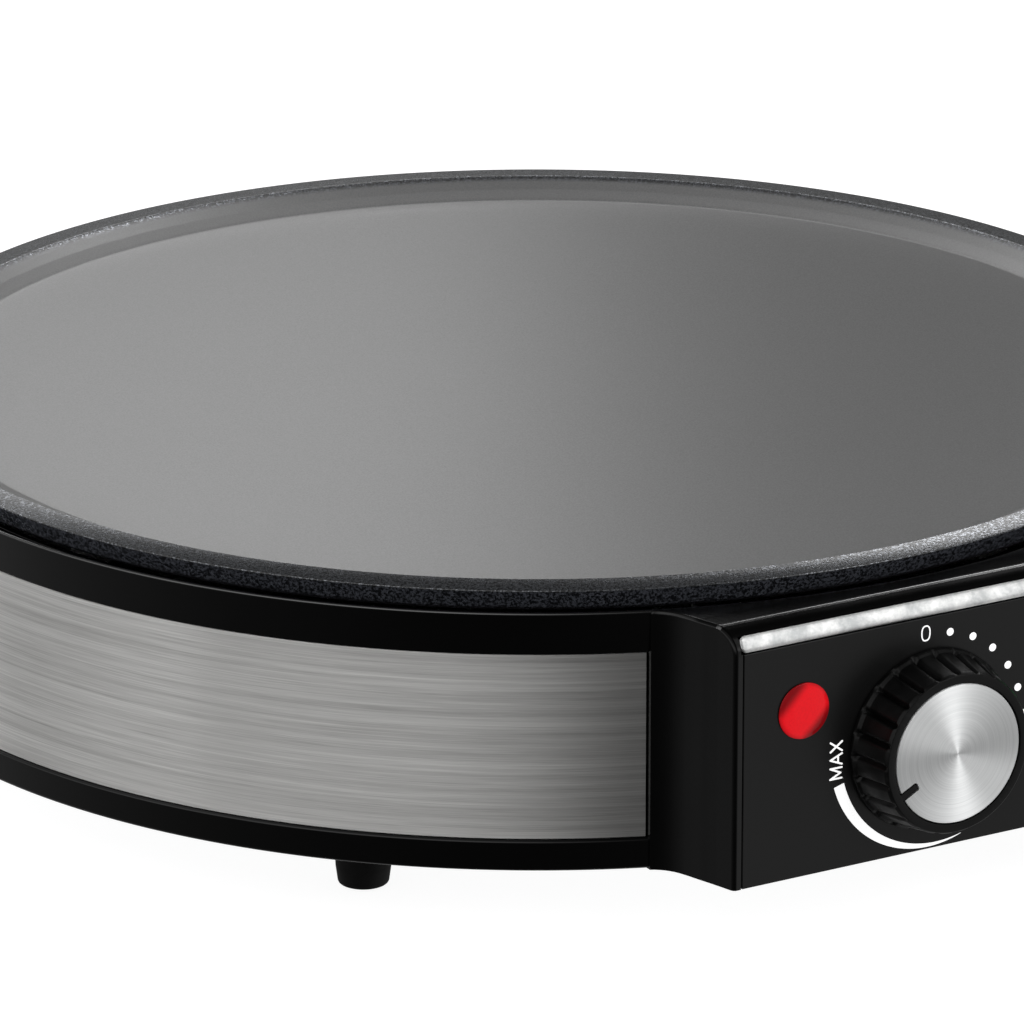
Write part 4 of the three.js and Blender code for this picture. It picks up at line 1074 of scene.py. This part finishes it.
# ------------------------------------------------------------------ floor, light and camera
bm = bmesh.new()
S = 6.0
bm.faces.new([bm.verts.new(v) for v in ((-S, -S, 0), (S, -S, 0), (S, S, 0), (-S, S, 0))])
me = bpy.data.meshes.new("floor")
bm.to_mesh(me)
bm.free()
floor = bpy.data.objects.new("floor", me)
floor.location.z = -0.0004
scene.collection.objects.link(floor)
fm = Mat("floor_white", (0.22, 0.22, 0.22), 0.9, Emission_Color=(1, 1, 1, 1), Emission_Strength=0.92)
fm.rough(fm.remap(fm.noise(scale=6.0, detail=2), 0.0, 1.0, 0.88, 0.94))
floor.data.materials.append(fm.m)
floor.visible_glossy = False
floor.visible_diffuse = False

CAM_AZ = math.radians(30.67)
ca, sa = math.cos(CAM_AZ), math.sin(CAM_AZ)


def from_cam_frame(x, y, z):
    """A direction given as right, away and up from the camera's side, turned into the row's axes."""
    return Vector((ca * x + sa * y, -sa * x + ca * y, z))


# the studio round the object: dim below, white flags and softboxes above, darker to the front right
world = bpy.data.worlds.new("studio")
scene.world = world
world.use_nodes = True
wt = world.node_tree


def wnode(kind, **props):
    n = wt.nodes.new(kind)
    for k, v in props.items():
        setattr(n, k, v)
    return n


def wmath(op, a, b=None, c=None):
    n = wnode("ShaderNodeMath", operation=op)
    for i, v in enumerate((a, b, c)):
        if isinstance(v, bpy.types.NodeSocket):
            wt.links.new(v, n.inputs[i])
        elif v is not None:
            n.inputs[i].default_value = v
    return n.outputs[0]


def wdot(vec):
    n = wnode("ShaderNodeVectorMath", operation="DOT_PRODUCT")
    wt.links.new(DIR, n.inputs[0])
    n.inputs[1].default_value = vec
    return n.outputs["Value"]


def wcurve(fac, stops):
    n = wnode("ShaderNodeValToRGB")
    n.color_ramp.interpolation = "B_SPLINE"
    e = n.color_ramp.elements
    while len(e) < len(stops):
        e.new(0.5)
    for el, (deg, v) in zip(e, stops):
        el.position = (deg + 180) / 360
        el.color = (v / GAIN, v / GAIN, v / GAIN, 1)
    wt.links.new(fac, n.inputs[0])
    return n.outputs[0]


DIR = wnode("ShaderNodeTexCoord").outputs["Generated"]
azimuth = wmath("ARCTAN2", wdot(from_cam_frame(1, 0, 0)), wdot(from_cam_frame(0, -1, 0)))
turn = wmath("MULTIPLY_ADD", azimuth, 1 / (2 * math.pi), 0.5)
GAIN = 3.0
HIGH = [(-180, 0.10), (-150, 0.20), (-118, 0.32), (-102, 0.34), (-82, 0.98), (-50, 1.52), (-18, 1.58), (-2, 1.2), (10, 0.38), (22, 0.04), (42, 0.12), (62, 0.6), (95, 0.5), (140, 0.10), (180, 0.10)]
LOW = [(-180, 0.45), (-135, 0.50), (-100, 0.32), (-60, 0.14), (-25, 0.05), (20, 0.03), (40, 0.20), (60, 0.74), (95, 1.10), (140, 0.50), (180, 0.45)]
rise = wnode("ShaderNodeMapRange", interpolation_type="SMOOTHSTEP")
wt.links.new(wdot((0, 0, 1)), rise.inputs[0])
rise.inputs[1].default_value, rise.inputs[2].default_value = -0.12, 0.10
sky = wnode("ShaderNodeMix", data_type="RGBA")
wt.links.new(rise.outputs[0], sky.inputs["Factor"])
_mix_in = [i for i in sky.inputs if i.type == "RGBA"]
wt.links.new(wcurve(turn, LOW), _mix_in[0])
wt.links.new(wcurve(turn, HIGH), _mix_in[1])
back = wt.nodes["Background"]
wt.links.new([o for o in sky.outputs if o.type == "RGBA"][0], back.inputs[0])
# the studio's ceiling is dark
ceiling = wnode("ShaderNodeMapRange", interpolation_type="SMOOTHSTEP")
wt.links.new(wdot((0, 0, 1)), ceiling.inputs[0])
for _i, _v in enumerate((0.72, 0.92, GAIN, 0.22 * GAIN), 1):
    ceiling.inputs[_i].default_value = _v
wt.links.new(ceiling.outputs[0], back.inputs[1])


def area(name, az, el, dist, w, h, power, color=(1, 1, 1), target=(0, 0, 0.05)):
    """A soft panel: az is degrees from the camera's side, positive to its right."""
    a, e = math.radians(az), math.radians(el)
    d = from_cam_frame(math.sin(a) * math.cos(e), -math.cos(a) * math.cos(e), math.sin(e))
    l = bpy.data.lights.new(name, "AREA")
    l.shape, l.size, l.size_y, l.energy, l.color = "RECTANGLE", w, h, power, color
    o = bpy.data.objects.new(name, l)
    o.location = Vector(target) + d * dist
    o.rotation_mode = "QUATERNION"
    o.rotation_quaternion = d.to_track_quat("Z", "Y")
    scene.collection.objects.link(o)
    return o


area("right_softbox", 52, 27, 0.9, 0.36, 0.66, 2.1)
area("side_left", -72, 3, 0.55, 0.45, 0.07, 0.12)
area("high_left", -119, 20, 0.9, 0.12, 0.42, 3.4)
area("behind_left", -151.8, 31, 0.75, 0.74, 0.33, 2.0)
area("behind_right", 144, 46.5, 0.8, 0.42, 0.22, 2.2)


cam_data = bpy.data.cameras.new("camera")
cam = bpy.data.objects.new("camera", cam_data)
scene.collection.objects.link(cam)
cam_data.sensor_width = 36.0
cam_data.lens = 8825.3 / 1024 * 36.0
cam_data.clip_start, cam_data.clip_end = 0.05, 50.0
fw = from_cam_frame(-0.00275, 0.9445, -0.3285).normalized()
right = from_cam_frame(1.0, 0.00291, 0.0).normalized()
up = right.cross(fw).normalized()
loc = from_cam_frame(0.0, -1.89981, 0.62507)
cam.location = Vector((loc.x + AX, loc.y + AY, loc.z + CREST * MM))
rot = Matrix((right, up, -fw)).transposed()
cam.rotation_mode = "QUATERNION"
cam.rotation_quaternion = rot.to_quaternion()
scene.camera = cam
scene.view_settings.view_transform = "Standard"
